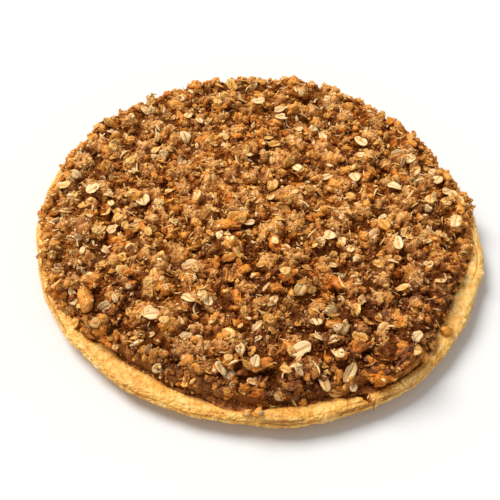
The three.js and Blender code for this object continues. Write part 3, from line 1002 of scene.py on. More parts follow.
    def _proud(self, around: Array, height: Array) -> Array:
        """Returns how far the loose flakes on the outer edge stand out."""
        relief = np.zeros_like(height)
        for azimuth, proud in self.proud_flakes:
            away = (np.degrees(around) - azimuth + 180.0) % 360.0 - 180.0
            on_edge = np.clip(1.0 - np.abs(height - self.form.rim_height + 2.6) / 2.2, 0.0, 1.0)
            relief += proud * np.clip(1.2 - np.abs(away) / 0.9, 0.0, 1.0) * on_edge
        return relief

    @staticmethod
    def _along_normals(radius: Array, height: Array, relief: Array) -> Arrays:
        """Moves each point out of the section by its relief."""
        run_r = np.gradient(radius, axis=1)
        run_z = np.gradient(height, axis=1)
        length = np.maximum(np.hypot(run_r, run_z), 1e-6)
        return radius + relief * run_z / length, height - relief * run_r / length

    def _open_cracks(self, around: Array, radius: Array, height: Array) -> Array:
        """Lowers the rim's top along each crack, which wanders a little, and returns its share."""
        share = np.zeros_like(radius)
        for crack in self.form.cracks:
            slant = 0.03 * (radius - 115.0) * (crack.width > 1.5)
            at = math.radians(crack.azimuth % 360.0)
            wander = 0.35 * np.sin(radius * 1.3) + 0.2 * np.sin(radius * 3.1)
            across = np.abs((around - at - 0.12 * slant) * radius + wander)
            width = crack.width * np.clip((120.0 - radius) / 9.0, 0.12, 1.0)
            near_top = np.clip((height - self.form.rim_height + 4.0) / 2.0, 0.0, 1.0)
            open_share = np.clip(2.4 * (1.0 - across / (0.5 * width)), 0.0, 1.0)
            on_top = np.clip((height - (self.form.rim_height - crack.depth)) / crack.depth, 0.0, 1.2)
            height -= crack.depth * open_share * on_top * 0.85
            share = np.maximum(share, open_share * near_top)
        return share

    def _stain(self, around: Array, radius: Array, height: Array) -> Array:
        """Share of each point's colour that comes from the filling beside it, from 0 to 1."""
        past = radius - self.form.inner(around)
        line = around[:, 0]
        creep = 1.1 * fractal(round_band(line, line * 0, 6.0, 1.0), 1.0, 3, 12.0)
        near = np.clip(1.0 - (past + creep[:, None] + 0.5) / 2.0, 0.0, 1.0)
        inside = (height > self.form.floor_thickness) & (past < 6.0)
        return np.where(inside, 0.9 * near, 0.0)

    def _faces(self, rows: int) -> Array:
        """Returns the faces of the shell's skin, closed at the two middle points."""
        i = np.arange(self.segments)
        j = (i + 1) % self.segments
        faces = []
        for row in range(rows - 1):
            a, b = i * rows + row, j * rows + row
            faces.append(np.stack([a, b, b + 1], axis=1))
            faces.append(np.stack([a, b + 1, a + 1], axis=1))
        under, floor = self.segments * rows, self.segments * rows + 1
        faces.append(np.stack([np.full_like(i, under), j * rows, i * rows], axis=1))
        faces.append(np.stack([np.full_like(i, floor), i * rows + rows - 1, j * rows + rows - 1], axis=1))
        return np.concatenate(faces)


# The filling


@dataclass
class CookedFilling:
    """The filling: a block in the shell whose uneven edge shows between the rim and the crumble."""

    form: TartForm
    segments: int = 1100
    rows_at_edge: int = 20
    band: float = 9.0

    def build(self, finish: FillingFinish) -> bpy.types.Object:
        """Makes the filling's mesh.

        Args:
            finish: the caramel material.

        Returns:
            The filling as one closed piece.
        """
        azimuths = 2.0 * math.pi * np.arange(self.segments) / self.segments
        inner = self.form.inner(azimuths)[:, None]
        level = self.form.filling_level
        inward = self.band * (1.0 - np.arange(self.rows_at_edge) / (self.rows_at_edge - 1)) ** 1.3
        radius = inner - 0.5 - inward[None, :]
        around = np.repeat(azimuths[:, None], self.rows_at_edge, axis=1)
        flat = np.stack([radius * np.cos(around), radius * np.sin(around), np.zeros_like(radius)], axis=-1)
        rows = flat.reshape(-1, 3)
        bumps = fractal(rows, 3.0, 3, 8.0) + 2.4 * (granules(rows, 2.4, 4.0) - 0.6) + granules(rows, 1.0, 5.0)
        creep = 0.75 * np.exp(-inward / 1.6)[None, :]
        height = level - 0.3 + creep + 0.4 * bumps.reshape(radius.shape) * np.clip(inward / 1.2, 0.3, 1.0)[None, :]
        foot_radius = np.full((self.segments, 1), self.form.base_radius - 8.5)
        foot_height = np.full((self.segments, 1), self.form.floor_thickness + 0.2)
        radius = np.hstack([radius, inner - 1.8, foot_radius])
        height = np.hstack([height, np.full((self.segments, 1), level - 1.6), foot_height])
        return self._skin(azimuths, radius, height, finish)

    def _skin(self, azimuths: Array, radius: Array, height: Array, finish: FillingFinish) -> bpy.types.Object:
        """Joins the rows into one closed skin, from the top's middle to the underside's."""
        rows = radius.shape[1]
        around = np.repeat(azimuths[:, None], rows, axis=1)
        points = np.stack([radius * np.cos(around), radius * np.sin(around), height], axis=-1).reshape(-1, 3)
        centres = np.array([[0.0, 0.0, self.form.filling_level], [0.0, 0.0, self.form.floor_thickness + 0.2]])
        i = np.arange(self.segments)
        j = (i + 1) % self.segments
        faces = []
        for row in range(rows - 1):
            a, b = i * rows + row, j * rows + row
            faces.append(np.stack([a, b + 1, b], axis=1))
            faces.append(np.stack([a, a + 1, b + 1], axis=1))
        top, foot = self.segments * rows, self.segments * rows + 1
        faces.append(np.stack([np.full_like(i, top), i * rows, j * rows], axis=1))
        faces.append(np.stack([np.full_like(i, foot), j * rows + rows - 1, i * rows + rows - 1], axis=1))
        mesh = solid_mesh("cooked_filling", np.vstack([points, centres]), np.concatenate(faces))
        mesh.materials.append(finish.material)
        mesh.shade_smooth()
        return link_object("cooked_filling", mesh)


# Shapes of the heap's pieces


@dataclass
class Shape:
    """A small piece at unit size: its corners, its faces, and each corner's oat tone, or 0 where it is dough."""

    points: Array
    faces: Array
    oat: Array

    @staticmethod
    def plain(points: Array, faces: Array) -> "Shape":
        """Returns a shape that is all one thing."""
        return Shape(points, faces, np.zeros(len(points)))

    @staticmethod
    def joined(shapes: list["Shape"]) -> "Shape":
        """Returns several shapes as one."""
        starts = np.cumsum([0] + [len(shape.points) for shape in shapes[:-1]])
        return Shape(
            np.vstack([shape.points for shape in shapes]),
            np.vstack([shape.faces + start for shape, start in zip(shapes, starts)]),
            np.concatenate([shape.oat for shape in shapes]))


@dataclass
class PieceShapes:
    """Makes the small pieces' shapes at unit size, each a little different."""

    seed: int = 7
    rng: np.random.Generator = field(init=False)

    def __post_init__(self) -> None:
        """Starts the seeded draws."""
        self.rng = np.random.default_rng(self.seed)

    def clump(self, subdivisions: int, lobes: int) -> Shape:
        """A clump stuck together from lobes, with a gritty skin.

        Args:
            subdivisions: fineness of the ball that it starts from.
            lobes: how many round lobes stand out of it.

        Returns:
            The clump, about 1 in radius.
        """
        ball, faces = ico_ball(subdivisions)
        centres = self._directions(lobes) * self.rng.uniform(0.45, 0.72, (lobes, 1))
        sizes = self.rng.uniform(0.24, 0.42, lobes)
        along = ball @ centres.T
        inside = sizes ** 2 - np.sum(centres ** 2, axis=1) + along ** 2
        reach = np.where(inside > 0, along + np.sqrt(np.maximum(inside, 0)), 0.0)
        radius = np.maximum(reach.max(axis=1), 0.66)
        for facet in self._directions(1):
            facing = ball @ facet
            limit = np.where(facing > 0.1, self.rng.uniform(0.66, 0.86) / np.maximum(facing, 0.1), 9.0)
            radius = np.minimum(radius, limit)
        shift = float(self.rng.uniform(0, 50))
        skin = 0.12 * fractal(ball, 0.6, 3, shift) + 0.30 * chips(ball, 0.40, shift + 6.0)
        skin += 0.29 * (nodules(ball, 0.50, shift) - 0.4) + 0.20 * (nodules(ball, 0.25, shift + 3.0) - 0.4)
        stretch = self.rng.uniform((0.95, 0.75, 0.70), (1.3, 1.0, 0.92))
        return Shape.plain(ball * (radius * (1.0 + skin))[:, None] * stretch, faces)

    def block(self) -> Shape:
        """A flat-sided lump of caramelised dough, about 1 in radius."""
        ball, faces = ico_ball(4)
        radius = np.full(len(ball), 1.0)
        for facet in self._directions(9):
            facing = ball @ facet
            limit = np.where(facing > 0.1, self.rng.uniform(0.62, 0.85) / np.maximum(facing, 0.1), 9.0)
            radius = np.minimum(radius, limit)
        shift = float(self.rng.uniform(0, 50))
        skin = 0.07 * fractal(ball, 0.5, 3, shift) + 0.06 * (nodules(ball, 0.25, shift) - 0.4)
        return Shape.plain(ball * (radius * (1.0 + skin))[:, None], faces)

    def oat_clump(self, subdivisions: int, lobes: int, most_oats: int, oat_length: float) -> Shape:
        """A clump, often with oats baked into its upper side.

        Args:
            subdivisions: fineness of the ball that it starts from.
            lobes: how many round lobes stand out of it.
            most_oats: the most oats that are baked in.
            oat_length: their length at the clump's unit size.

        Returns:
            The clump and its oats as one shape.
        """
        dough = self.clump(subdivisions, lobes)
        oats = int(self.rng.integers(0, most_oats + 1))
        return Shape.joined([dough] + [self._baked_in(dough, oat_length) for _ in range(oats)])

    def crumb(self) -> Shape:
        """A loose angular crumb, about 1 in radius."""
        ball, faces = ico_ball(1)
        radius = self.rng.uniform(0.62, 1.15, (len(ball), 1))
        return Shape.plain(ball * radius * self.rng.uniform((0.9, 0.7, 0.55), (1.5, 1.1, 0.9)), faces)

    def oat(self, rings: int, sides: int, ragged: float = 0.12) -> Shape:
        """A rolled oat: a thin ragged oval, cupped, with a crease along its middle.

        Args:
            rings: rings of points from its middle to its edge.
            sides: points round its edge.
            ragged: how uneven its edge is.

        Returns:
            The oat, 1 long.
        """
        rng = self.rng
        disc, turn = self._round_grid(rings, sides)
        width = rng.uniform(0.6, 0.88)
        rim = np.stack([np.cos(turn), np.sin(turn), turn * 0], axis=1)
        uneven = 1.0 + ragged * fractal(rim, 0.5, 2, float(rng.uniform(0, 50)))
        for _ in range(2):
            uneven *= 1.0 - rng.uniform(0.0, 0.4) * np.exp(-((turn - rng.uniform(0.3, 5.9)) / 0.32) ** 2)
        x = 0.5 * disc * np.cos(turn) * uneven
        y = 0.5 * width * disc * np.sin(turn) * uneven
        cup, twist, curl = rng.uniform(-0.4, 0.5), rng.uniform(-0.6, 0.6), rng.uniform(0.0, 3.0)
        crease = 0.05 * np.exp(-(y / 0.06) ** 2) * (np.abs(x) < 0.42)
        middle = cup * (x ** 2 + 0.6 * y ** 2) + twist * x * y + curl * np.maximum(y - 0.1, 0.0) ** 2
        thickness = 0.036 * np.sqrt(np.maximum(1.05 - disc ** 2, 0.0))
        top = np.stack([x, y, middle + thickness - crease], axis=1)
        under = np.stack([x, y, middle - thickness - 0.5 * crease], axis=1)
        oat = self._plate(top, under, rings, sides)
        oat.oat = np.tile(np.clip(20.0 * crease + 0.8 * smoothstep((disc - 0.6) / 0.4) * rng.uniform(), 0.0, 1.0), 2)
        return oat

    def broken_oat(self) -> Shape:
        """A small angular chip of a broken oat, about 1 long."""
        rng = self.rng
        disc, turn = self._round_grid(1, 6)
        reach = 0.5 * disc * rng.uniform(0.6, 1.15, len(disc))
        x, y = reach * np.cos(turn), reach * np.sin(turn) * rng.uniform(0.45, 0.8)
        middle = rng.uniform(-1.4, 1.4) * x ** 2 + rng.uniform(-1.6, 1.6) * x * y
        top = np.stack([x, y, middle + 0.05], axis=1)
        under = np.stack([x, y, middle - 0.05], axis=1)
        return self._plate(top, under, 1, 6)

    def sliver(self, length_steps: int = 5) -> Shape:
        """A thin curved splinter of husk.

        Args:
            length_steps: how many steps it has along its length.

        Returns:
            The splinter, 1 long.
        """
        rng = self.rng
        along = np.linspace(-0.5, 0.5, length_steps + 1)
        half = rng.uniform(0.06, 0.13) * np.sqrt(np.maximum(1.02 - (2 * along) ** 2, 0.03))
        lift = rng.uniform(-0.9, 0.9) * along ** 2
        sway = rng.uniform(-0.5, 0.5) * along ** 2
        thick = rng.uniform(0.03, 0.05)
        section = ((-1.0, 0.0), (0.0, 1.0), (1.0, 0.0), (0.0, -1.0))
        points = [(x, s + w * a, h + thick * b) for x, w, h, s in zip(along, half, lift, sway) for a, b in section]
        faces = [(0, 1, 2), (0, 2, 3)]
        for k in range(length_steps):
            for side in range(4):
                a, b = 4 * k + side, 4 * k + (side + 1) % 4
                faces += [(a, a + 4, b + 4), (a, b + 4, b)]
        last = 4 * length_steps
        faces += [(last, last + 2, last + 1), (last, last + 3, last + 2)]
        return Shape.plain(np.array(points), np.array(faces))

    def _baked_in(self, dough: Shape, length: float) -> Shape:
        """Returns an oat pressed into the upper side of a lump of dough."""
        rng = self.rng
        heading, rise = rng.uniform(0.0, 2.0 * math.pi), rng.uniform(0.15, 1.4)
        out = np.array([math.cos(heading) * math.cos(rise), math.sin(heading) * math.cos(rise), math.sin(rise)])
        seat = dough.points[np.argmax(dough.points @ out)]
        basis = Vector(out).to_track_quat("Z", "Y").to_matrix()
        basis = basis @ Matrix.Rotation(rng.uniform(0.0, 6.28), 3, "Z") @ Matrix.Rotation(rng.normal(0.0, 0.45), 3, "X")
        oat = self.oat(2, 8, 0.22)
        size = length * rng.uniform(0.75, 1.1)
        points = (oat.points * size) @ np.array(basis).T + seat * 0.93
        return Shape(points, oat.faces, np.full(len(points), rng.uniform(0.2, 1.0)))

    def _directions(self, count: int) -> Array:
        """Returns random unit directions, one a row."""
        raw = self.rng.normal(size=(count, 3))
        return raw / np.linalg.norm(raw, axis=1)[:, None]

    @staticmethod
    def _round_grid(rings: int, sides: int) -> Arrays:
        """Returns radii from 0 to 1 and turns of a middle point and its rings."""
        disc = np.concatenate([[0.0], np.repeat(np.arange(1, rings + 1) / rings, sides)])
        turn = np.concatenate([[0.0], np.tile(2.0 * math.pi * np.arange(sides) / sides, rings)])
        return disc, turn

    @staticmethod
    def _plate(top: Array, under: Array, rings: int, sides: int) -> Shape:
        """Closes two round grids into a thin plate."""
        count = len(top)
        i = np.arange(sides)
        j = (i + 1) % sides
        faces = [np.stack([np.zeros_like(i), 1 + i, 1 + j], axis=1)]
        for ring in range(1, rings):
            a, b = 1 + (ring - 1) * sides, 1 + ring * sides
            faces.append(np.stack([a + i, b + i, b + j], axis=1))
            faces.append(np.stack([a + i, b + j, a + j], axis=1))
        upper = np.concatenate(faces)
        lower = upper[:, ::-1] + count
        edge = 1 + (rings - 1) * sides
        wall = np.concatenate([
            np.stack([edge + i, count + edge + i, count + edge + j], axis=1),
            np.stack([edge + i, count + edge + j, edge + j], axis=1),
        ])
        return Shape.plain(np.vstack([top, under]), np.concatenate([upper, lower, wall]))


# The heap of crumble


class Lie(Enum):
    """How strewn pieces lie: the share by which they follow the ground, and how far they may tip, in radians."""

    FLAT = (0.8, 0.4)
    LEANING = (0.6, 0.9)
    TUMBLED = (0.2, 3.1)


class Bake(Enum):
    """How toasted a piece that stands out is, as its tone."""

    DARK = -0.25
    BROWN = -0.10
    GOLDEN = 0.55
    STRAW = 0.72
    PALE = 0.88


@dataclass(frozen=True)
class Tones:
    """The darkest and palest tone of a kind, and how strongly its draws lean to the dark end."""

    darkest: float = 0.0
    palest: float = 1.0
    skew: float = 1.0


@dataclass(frozen=True)
class Strewn:
    """One kind of small piece and how it is strewn."""

    name: str
    density: float
    clear: float
    smallest: float
    largest: float
    lie: Lie
    lift: float
    tones: Tones
    seed: int


@dataclass(frozen=True)
class Standout:
    """A piece that stands out in the photograph: place and size in mm, turn and tip in degrees."""

    x: float
    y: float
    length: float
    width: float
    turn: float
    bake: Bake
    tip: float = 0.0


STANDOUT_OATS = (
    Standout(23.6, -85.2, 10.5, 8.2, 25, Bake.PALE, 8),
    Standout(34.3, -71.0, 9.5, 7.0, 60, Bake.PALE, -10),
    Standout(-33.2, -59.1, 8.6, 7.2, 140, Bake.PALE, 8),
    Standout(-50.0, -71.5, 9.0, 7.2, 15, Bake.PALE, -6),
    Standout(-73.3, -66.6, 9.5, 5.2, 35, Bake.STRAW, 25),
    Standout(-9.1, -100.2, 9.0, 7.5, 120, Bake.PALE, 12),
    Standout(-32.4, -81.1, 7.5, 5.8, 35, Bake.STRAW, 10),
    Standout(2.4, -101.8, 8.0, 4.6, 20, Bake.STRAW, -12),
    Standout(-34.6, -35.8, 8.5, 7.5, 20, Bake.STRAW, 6),
    Standout(-23.2, -59.5, 6.8, 5.2, 100, Bake.PALE, 10),
    Standout(35.6, -99.3, 9.0, 6.8, 115, Bake.STRAW, 14),
    Standout(47.5, -92.8, 12.0, 4.6, 65, Bake.STRAW, 15),
    Standout(49.5, -97.8, 6.0, 4.0, 75, Bake.STRAW, 5),
    Standout(78.3, -78.6, 7.8, 7.4, 0, Bake.GOLDEN, 0),
    Standout(52.3, -72.7, 8.5, 6.6, 160, Bake.GOLDEN, 12),
    Standout(36.0, -11.2, 7.5, 6.2, 80, Bake.PALE, -8),
    Standout(59.8, -6.8, 8.0, 6.0, 50, Bake.PALE, 10),
    Standout(72.0, -14.7, 8.0, 5.0, 100, Bake.STRAW, -15),
    Standout(69.2, -25.7, 7.0, 4.4, 150, Bake.PALE, 10),
    Standout(86.4, -5.2, 7.0, 5.0, 20, Bake.STRAW, 8),
    Standout(21.8, -49.8, 7.5, 5.4, 60, Bake.GOLDEN, 20),
    Standout(8.6, -57.6, 7.5, 4.6, 55, Bake.PALE, 18),
    Standout(6.6, 87.1, 10.0, 4.6, 35, Bake.PALE, -12),
    Standout(-7.1, 90.7, 8.5, 4.2, 15, Bake.PALE, -10),
    Standout(53.3, 62.3, 8.5, 6.0, 140, Bake.STRAW, 0),
    Standout(74.7, 58.3, 9.0, 4.0, 25, Bake.STRAW, 25),
    Standout(34.8, 35.4, 8.5, 5.5, 30, Bake.PALE, 12),
    Standout(49.3, 31.8, 8.0, 6.0, 110, Bake.PALE, -8),
    Standout(71.4, 28.0, 8.5, 6.5, 150, Bake.STRAW, 6),
    Standout(96.2, 39.1, 7.5, 6.5, 60, Bake.PALE, 12),
    Standout(101.4, 31.5, 7.0, 5.5, 30, Bake.STRAW, 5),
    Standout(-88.0, 57.5, 9.0, 5.4, 65, Bake.PALE, 10),
    Standout(-93.6, 55.5, 7.0, 4.4, 100, Bake.PALE, -12),
    Standout(-91.4, 8.2, 8.0, 6.0, 50, Bake.PALE, 14),
    Standout(-46.9, 74.9, 8.0, 6.0, 80, Bake.STRAW, 8),
    Standout(-46.1, 39.6, 9.0, 6.5, 70, Bake.PALE, 10),
    Standout(-63.9, 4.7, 8.5, 6.5, 110, Bake.STRAW, -14),
    Standout(-64.7, -12.6, 8.5, 5.5, 35, Bake.STRAW, 20),
    Standout(-77.1, -17.9, 7.5, 5.5, 60, Bake.PALE, 12),
    Standout(-7.1, -6.8, 8.0, 4.8, 15, Bake.PALE, -15),
    Standout(-90.9, -58.7, 6.5, 5.2, 100, Bake.PALE, 15),
    Standout(2.2, -94.9, 6.5, 5.0, 80, Bake.STRAW, 10),
)

STANDOUT_CLUMPS = (
    Standout(-83.1, -63.7, 17.0, 10.0, 105, Bake.GOLDEN),
    Standout(-67.2, -84.3, 9.5, 8.5, 0, Bake.DARK),
    Standout(-29.5, 80.7, 11.0, 10.0, 30, Bake.DARK),
    Standout(14.4, 110.4, 11.0, 11.0, 0, Bake.BROWN),
    Standout(-33.9, 109.9, 7.0, 5.0, 90, Bake.BROWN),
    Standout(-54.3, 83.2, 11.5, 8.0, 10, Bake.GOLDEN),
    Standout(-16.2, -9.5, 13.0, 9.5, 15, Bake.BROWN),
    Standout(8.5, -19.3, 13.0, 10.0, 120, Bake.BROWN),
    Standout(15.3, -42.8, 13.0, 10.0, 60, Bake.BROWN),
    Standout(-9.2, -55.7, 14.0, 8.0, 105, Bake.BROWN),
    Standout(20.8, -102.9, 9.0, 8.0, 0, Bake.BROWN),
    Standout(96.6, -58.9, 7.0, 5.5, 30, Bake.GOLDEN),
    Standout(51.0, -79.8, 12.5, 11.0, 30, Bake.BROWN),
    Standout(74.0, -80.6, 15.0, 12.5, 60, Bake.BROWN),
    Standout(62.2, -91.0, 15.0, 11.0, 15, Bake.BROWN),
    Standout(4.5, -94.3, 14.0, 11.0, 0, Bake.BROWN),
    Standout(5.6, -107.2, 11.0, 7.0, 5, Bake.DARK),
    Standout(-9.8, -94.0, 10.0, 8.0, 40, Bake.STRAW),
    Standout(-8.5, -105.8, 9.0, 7.0, 170, Bake.BROWN),
    Standout(-23.4, -103.1, 7.0, 6.0, 60, Bake.BROWN),
    Standout(-74.6, -77.9, 14.0, 11.0, 130, Bake.BROWN),
    Standout(-41.6, -76.7, 11.0, 9.5, 70, Bake.BROWN),
    Standout(-62.8, -53.6, 9.0, 7.5, 20, Bake.BROWN),
    Standout(-45.6, -55.6, 10.0, 8.5, 110, Bake.BROWN),
    Standout(39.6, -40.8, 12.0, 9.5, 150, Bake.BROWN),
    Standout(0.2, -115.8, 4.8, 4.4, 20, Bake.PALE),
    Standout(5.3, -115.3, 5.8, 4.8, 60, Bake.PALE),
)


@dataclass(frozen=True)
class Toasting:
    """A place where the heap is paler or darker than round it: where, how wide in mm, and the change of tone."""

    x: float
    y: float
    reach: float
    change: float


TOASTINGS = (
    Toasting(-102.0, -28.0, 24.0, 0.65), Toasting(-98.0, 26.0, 18.0, 0.20), Toasting(-76.6, 69.6, 18.0, 0.30),
    Toasting(-49.0, 75.0, 14.0, 0.30), Toasting(8.0, 96.0, 24.0, 0.40), Toasting(52.0, 102.0, 18.0, 0.30),
    Toasting(-28.0, -9.0, 12.0, 0.25), Toasting(29.0, 15.0, 14.0, 0.30), Toasting(-20.0, 51.0, 11.0, -0.30),
    Toasting(0.6, 58.7, 12.0, -0.25), Toasting(-13.2, -37.0, 9.0, -0.90), Toasting(11.0, -34.0, 10.0, -0.30),
    Toasting(48.0, -9.0, 10.0, -0.30), Toasting(-74.2, -38.8, 14.0, -0.30), Toasting(98.0, -26.0, 14.0, -0.45),
    Toasting(63.0, -70.0, 24.0, -0.28), Toasting(-15.0, -104.0, 8.0, -0.25),
    Toasting(-66.0, -9.0, 11.0, -0.25), Toasting(15.0, -74.0, 12.0, -0.25), Toasting(-44.0, -84.0, 13.0, 0.40),
    Toasting(75.0, -34.0, 12.0, 0.20), Toasting(3.0, -104.0, 8.0, 0.20),
)
# painted shade: a broad bank on the near right side of the heap that is darker and damper
SHADE_AND_DAMP_BANK = (62.0, -50.0, 54.0, 36.0)
DRY_RIM_RADIUS = 114.0


def toasting(points: Array) -> Array:
    """How much paler or darker the heap is at each point than a plain one, as a change of tone."""
    change = np.zeros(len(points))
    for spot in TOASTINGS:
        away = np.hypot(points[:, 0] - spot.x, points[:, 1] - spot.y)
        change += spot.change * np.exp(-(away / spot.reach) ** 2)
    return change


def moistness_and_shade(points: Array) -> Array:
    """Moistness at each point, 0 dry to 1: moist near the edge, plus a bank of painted shade on the near right side."""
    radius = np.hypot(points[:, 0], points[:, 1]) / 120.0
    on_heap = smoothstep((DRY_RIM_RADIUS - 120.0 * radius) / 2.0)
    near = smoothstep((-points[:, 1] / 120.0 + 0.35) / 1.2)
    edge = smoothstep((radius - 0.5) / 0.5)
    x, y, long, wide = SHADE_AND_DAMP_BANK
    bank = np.exp(-((points[:, 0] - x) / long) ** 2 - ((points[:, 1] - y) / wide) ** 2)
    patches = 0.5 + 0.5 * fractal(points * (1.0, 1.0, 0.0), 22.0, 3, 21.0)
    share = (edge * (0.1 + 0.65 * near) + 0.6 * bank + 0.16) * (0.05 + 1.6 * patches)
    return np.clip(share, 0.0, 1.0) * on_heap


class StrewTree:
    """Geometry Nodes tree that strews pieces of one kind over a ground, where they can be seen from above."""

    SOCKETS = (
        ("Ground", "NodeSocketObject"), ("Kinds", "NodeSocketCollection"), ("Finish", "NodeSocketMaterial"),
        ("Density", "NodeSocketFloat"), ("Clear", "NodeSocketFloat"), ("Smallest", "NodeSocketFloat"),
        ("Largest", "NodeSocketFloat"), ("Follow", "NodeSocketFloat"), ("Tip", "NodeSocketFloat"),
        ("Lift", "NodeSocketFloat"), ("Darkest", "NodeSocketFloat"), ("Palest", "NodeSocketFloat"),
        ("Skew", "NodeSocketFloat"), ("Seed", "NodeSocketInt"),
    )

    def __init__(self) -> None:
        """Builds the tree."""
        self.tree = bpy.data.node_groups.new("Strew pieces", "GeometryNodeTree")
        self.tree.interface.new_socket("Geometry", in_out="INPUT", socket_type="NodeSocketGeometry")
        for name, kind in self.SOCKETS:
            self.tree.interface.new_socket(name, in_out="INPUT", socket_type=kind)
        self.tree.interface.new_socket("Geometry", in_out="OUTPUT", socket_type="NodeSocketGeometry")
        self.sheet = Sheet(self.tree)
        self._build()

    def _build(self) -> None:
        """Fills the tree from the ground to the realized pieces."""
        sheet = self.sheet
        given = sheet.add("NodeGroupInput").outputs
        ground = sheet.add("GeometryNodeObjectInfo", {"Object": given["Ground"]}).outputs["Geometry"]
        upright = sheet.add("FunctionNodeCompare", {"A": self._up_share(), "B": 0.05}, operation="GREATER_THAN")
        open_ground = sheet.add("GeometryNodeInputNamedAttribute", {"Name": "open"}, data_type="FLOAT")
        dots = sheet.add("GeometryNodeDistributePointsOnFaces", {
            "Mesh": ground, "Selection": sheet.out(upright), "Distance Min": given["Clear"],
            "Density Max": given["Density"], "Density Factor": sheet.out(open_ground, "Attribute"),
            "Seed": given["Seed"],
        }, distribute_method="POISSON")
        points = self._drop_hidden(dots.outputs["Points"], ground)
        rotation = self._rotation(given, dots.outputs["Normal"])
        lifted = self._lifted(given, points, dots.outputs["Normal"])
        kinds = sheet.add("GeometryNodeCollectionInfo", {
            "Collection": given["Kinds"], "Separate Children": True, "Reset Children": True})
        pieces = sheet.add("GeometryNodeInstanceOnPoints", {
            "Points": lifted, "Instance": kinds.outputs[0], "Pick Instance": True,
            "Instance Index": self._random("INT", 0, 99, given["Seed"], 5),
            "Rotation": rotation, "Scale": self._skewed(given, "Smallest", "Largest", 1.6, 29)})
        toned = sheet.add("GeometryNodeStoreNamedAttribute", {
            "Geometry": pieces.outputs[0], "Name": "tone",
            "Value": self._skewed(given, "Darkest", "Palest", given["Skew"], 11)},
            data_type="FLOAT", domain="INSTANCE")
        real = sheet.add("GeometryNodeRealizeInstances", {"Geometry": toned.outputs[0]})
        dressed = sheet.add("GeometryNodeSetMaterial", {"Geometry": real.outputs[0], "Material": given["Finish"]})
        sheet.add("NodeGroupOutput", {"Geometry": dressed.outputs[0]})

    def _up_share(self) -> bpy.types.NodeSocket:
        """Returns how far the ground faces up."""
        parts = self.sheet.add("ShaderNodeSeparateXYZ", {"Vector": self.sheet.add("GeometryNodeInputNormal").outputs[0]})
        return parts.outputs["Z"]

    def _random(self, kind: str, low: float, high: float, seed: object, shift: int) -> bpy.types.NodeSocket:
        """Returns a random value for each point, from its own stream."""
        stream = self.sheet.math("ADD", seed, float(shift))
        node = self.sheet.add("FunctionNodeRandomValue", data_type=kind)
        for name, value in (("Min", low), ("Max", high), ("Seed", stream)):
            self.sheet.feed(self.sheet.socket(node.inputs, name), value)
        return self.sheet.out(node)

    def _skewed(self, given: object, low: str, high: str, skew: object, shift: int) -> bpy.types.NodeSocket:
        """Returns a random value between two inputs of the tree, leaning to the low one."""
        draw = self.sheet.math("POWER", self._random("FLOAT", 0.0, 1.0, given["Seed"], shift), skew)
        span = self.sheet.math("SUBTRACT", given[high], given[low])
        return self.sheet.math("MULTIPLY_ADD", draw, span, given[low])

    def _drop_hidden(self, points: object, ground: object) -> bpy.types.NodeSocket:
        """Deletes the points that have ground above them."""
        sheet = self.sheet
        here = sheet.add("GeometryNodeInputPosition").outputs[0]
        above = sheet.add("ShaderNodeVectorMath", {"Vector#0": here, "Vector#1": (0.0, 0.0, 0.4 * MM)}, operation="ADD")
        ray = sheet.add("GeometryNodeRaycast", {
            "Target Geometry": ground, "Source Position": above.outputs[0],
            "Ray Direction": (0.0, 0.0, 1.0), "Ray Length": 0.05})
        kept = sheet.add("GeometryNodeDeleteGeometry", {
            "Geometry": points, "Selection": ray.outputs["Is Hit"]}, domain="POINT")
        return kept.outputs[0]

    def _rotation(self, given: object, normal: object) -> bpy.types.NodeSocket:
        """Turns each piece to follow the ground in part, tips it and spins it."""
        sheet = self.sheet
        tip = self._random("FLOAT_VECTOR", (-1.0, -1.0, 0.0), (1.0, 1.0, 0.0), given["Seed"], 17)
        tipped = sheet.add("ShaderNodeVectorMath", {"Vector": tip, "Scale": given["Tip"]}, operation="SCALE")
        free = sheet.add("FunctionNodeEulerToRotation", {"Euler": tipped.outputs[0]})
        follow = sheet.add("FunctionNodeAlignRotationToVector", {
            "Rotation": free.outputs[0], "Factor": given["Follow"], "Vector": normal}, axis="Z")
        spin = self._random("FLOAT_VECTOR", (0.0, 0.0, 0.0), (0.0, 0.0, 6.283), given["Seed"], 23)
        turned = sheet.add("FunctionNodeEulerToRotation", {"Euler": spin})
        return sheet.add("FunctionNodeRotateRotation", {
            "Rotation": follow.outputs[0], "Rotate By": turned.outputs[0]}, rotation_space="LOCAL").outputs[0]

    def _lifted(self, given: object, points: object, normal: object) -> bpy.types.NodeSocket:
        """Moves each point out of the ground by its lift."""
        offset = self.sheet.add("ShaderNodeVectorMath", {"Vector": normal, "Scale": given["Lift"]}, operation="SCALE")
        return self.sheet.add("GeometryNodeSetPosition", {
            "Geometry": points, "Offset": offset.outputs[0]}).outputs[0]

    def strew(self, kind: Strewn, ground: bpy.types.Object, shapes: bpy.types.Collection,
              finish: Finish) -> bpy.types.Mesh:
        """Strews one kind over a ground.

        Args:
            kind: what is strewn and how.
            ground: the object that it lies on.
            shapes: the shapes to pick from.
            finish: the pieces' material.

        Returns:
            The pieces as one plain mesh.
        """
        carrier = link_object(kind.name, bpy.data.meshes.new(kind.name))
        modifier = carrier.modifiers.new("Strew", "NODES")
        modifier.node_group = self.tree
        follow, tip = kind.lie.value
        set_inputs(modifier, {
            "Ground": ground, "Kinds": shapes, "Finish": finish.material, "Density": kind.density / MM ** 2,
            "Clear": kind.clear * MM, "Smallest": kind.smallest, "Largest": kind.largest, "Follow": follow,
            "Tip": tip, "Lift": kind.lift * MM, "Darkest": kind.tones.darkest, "Palest": kind.tones.palest,
            "Skew": kind.tones.skew, "Seed": kind.seed,
        })
        mesh = plain_mesh(carrier)
        bpy.data.objects.remove(carrier)
        return mesh


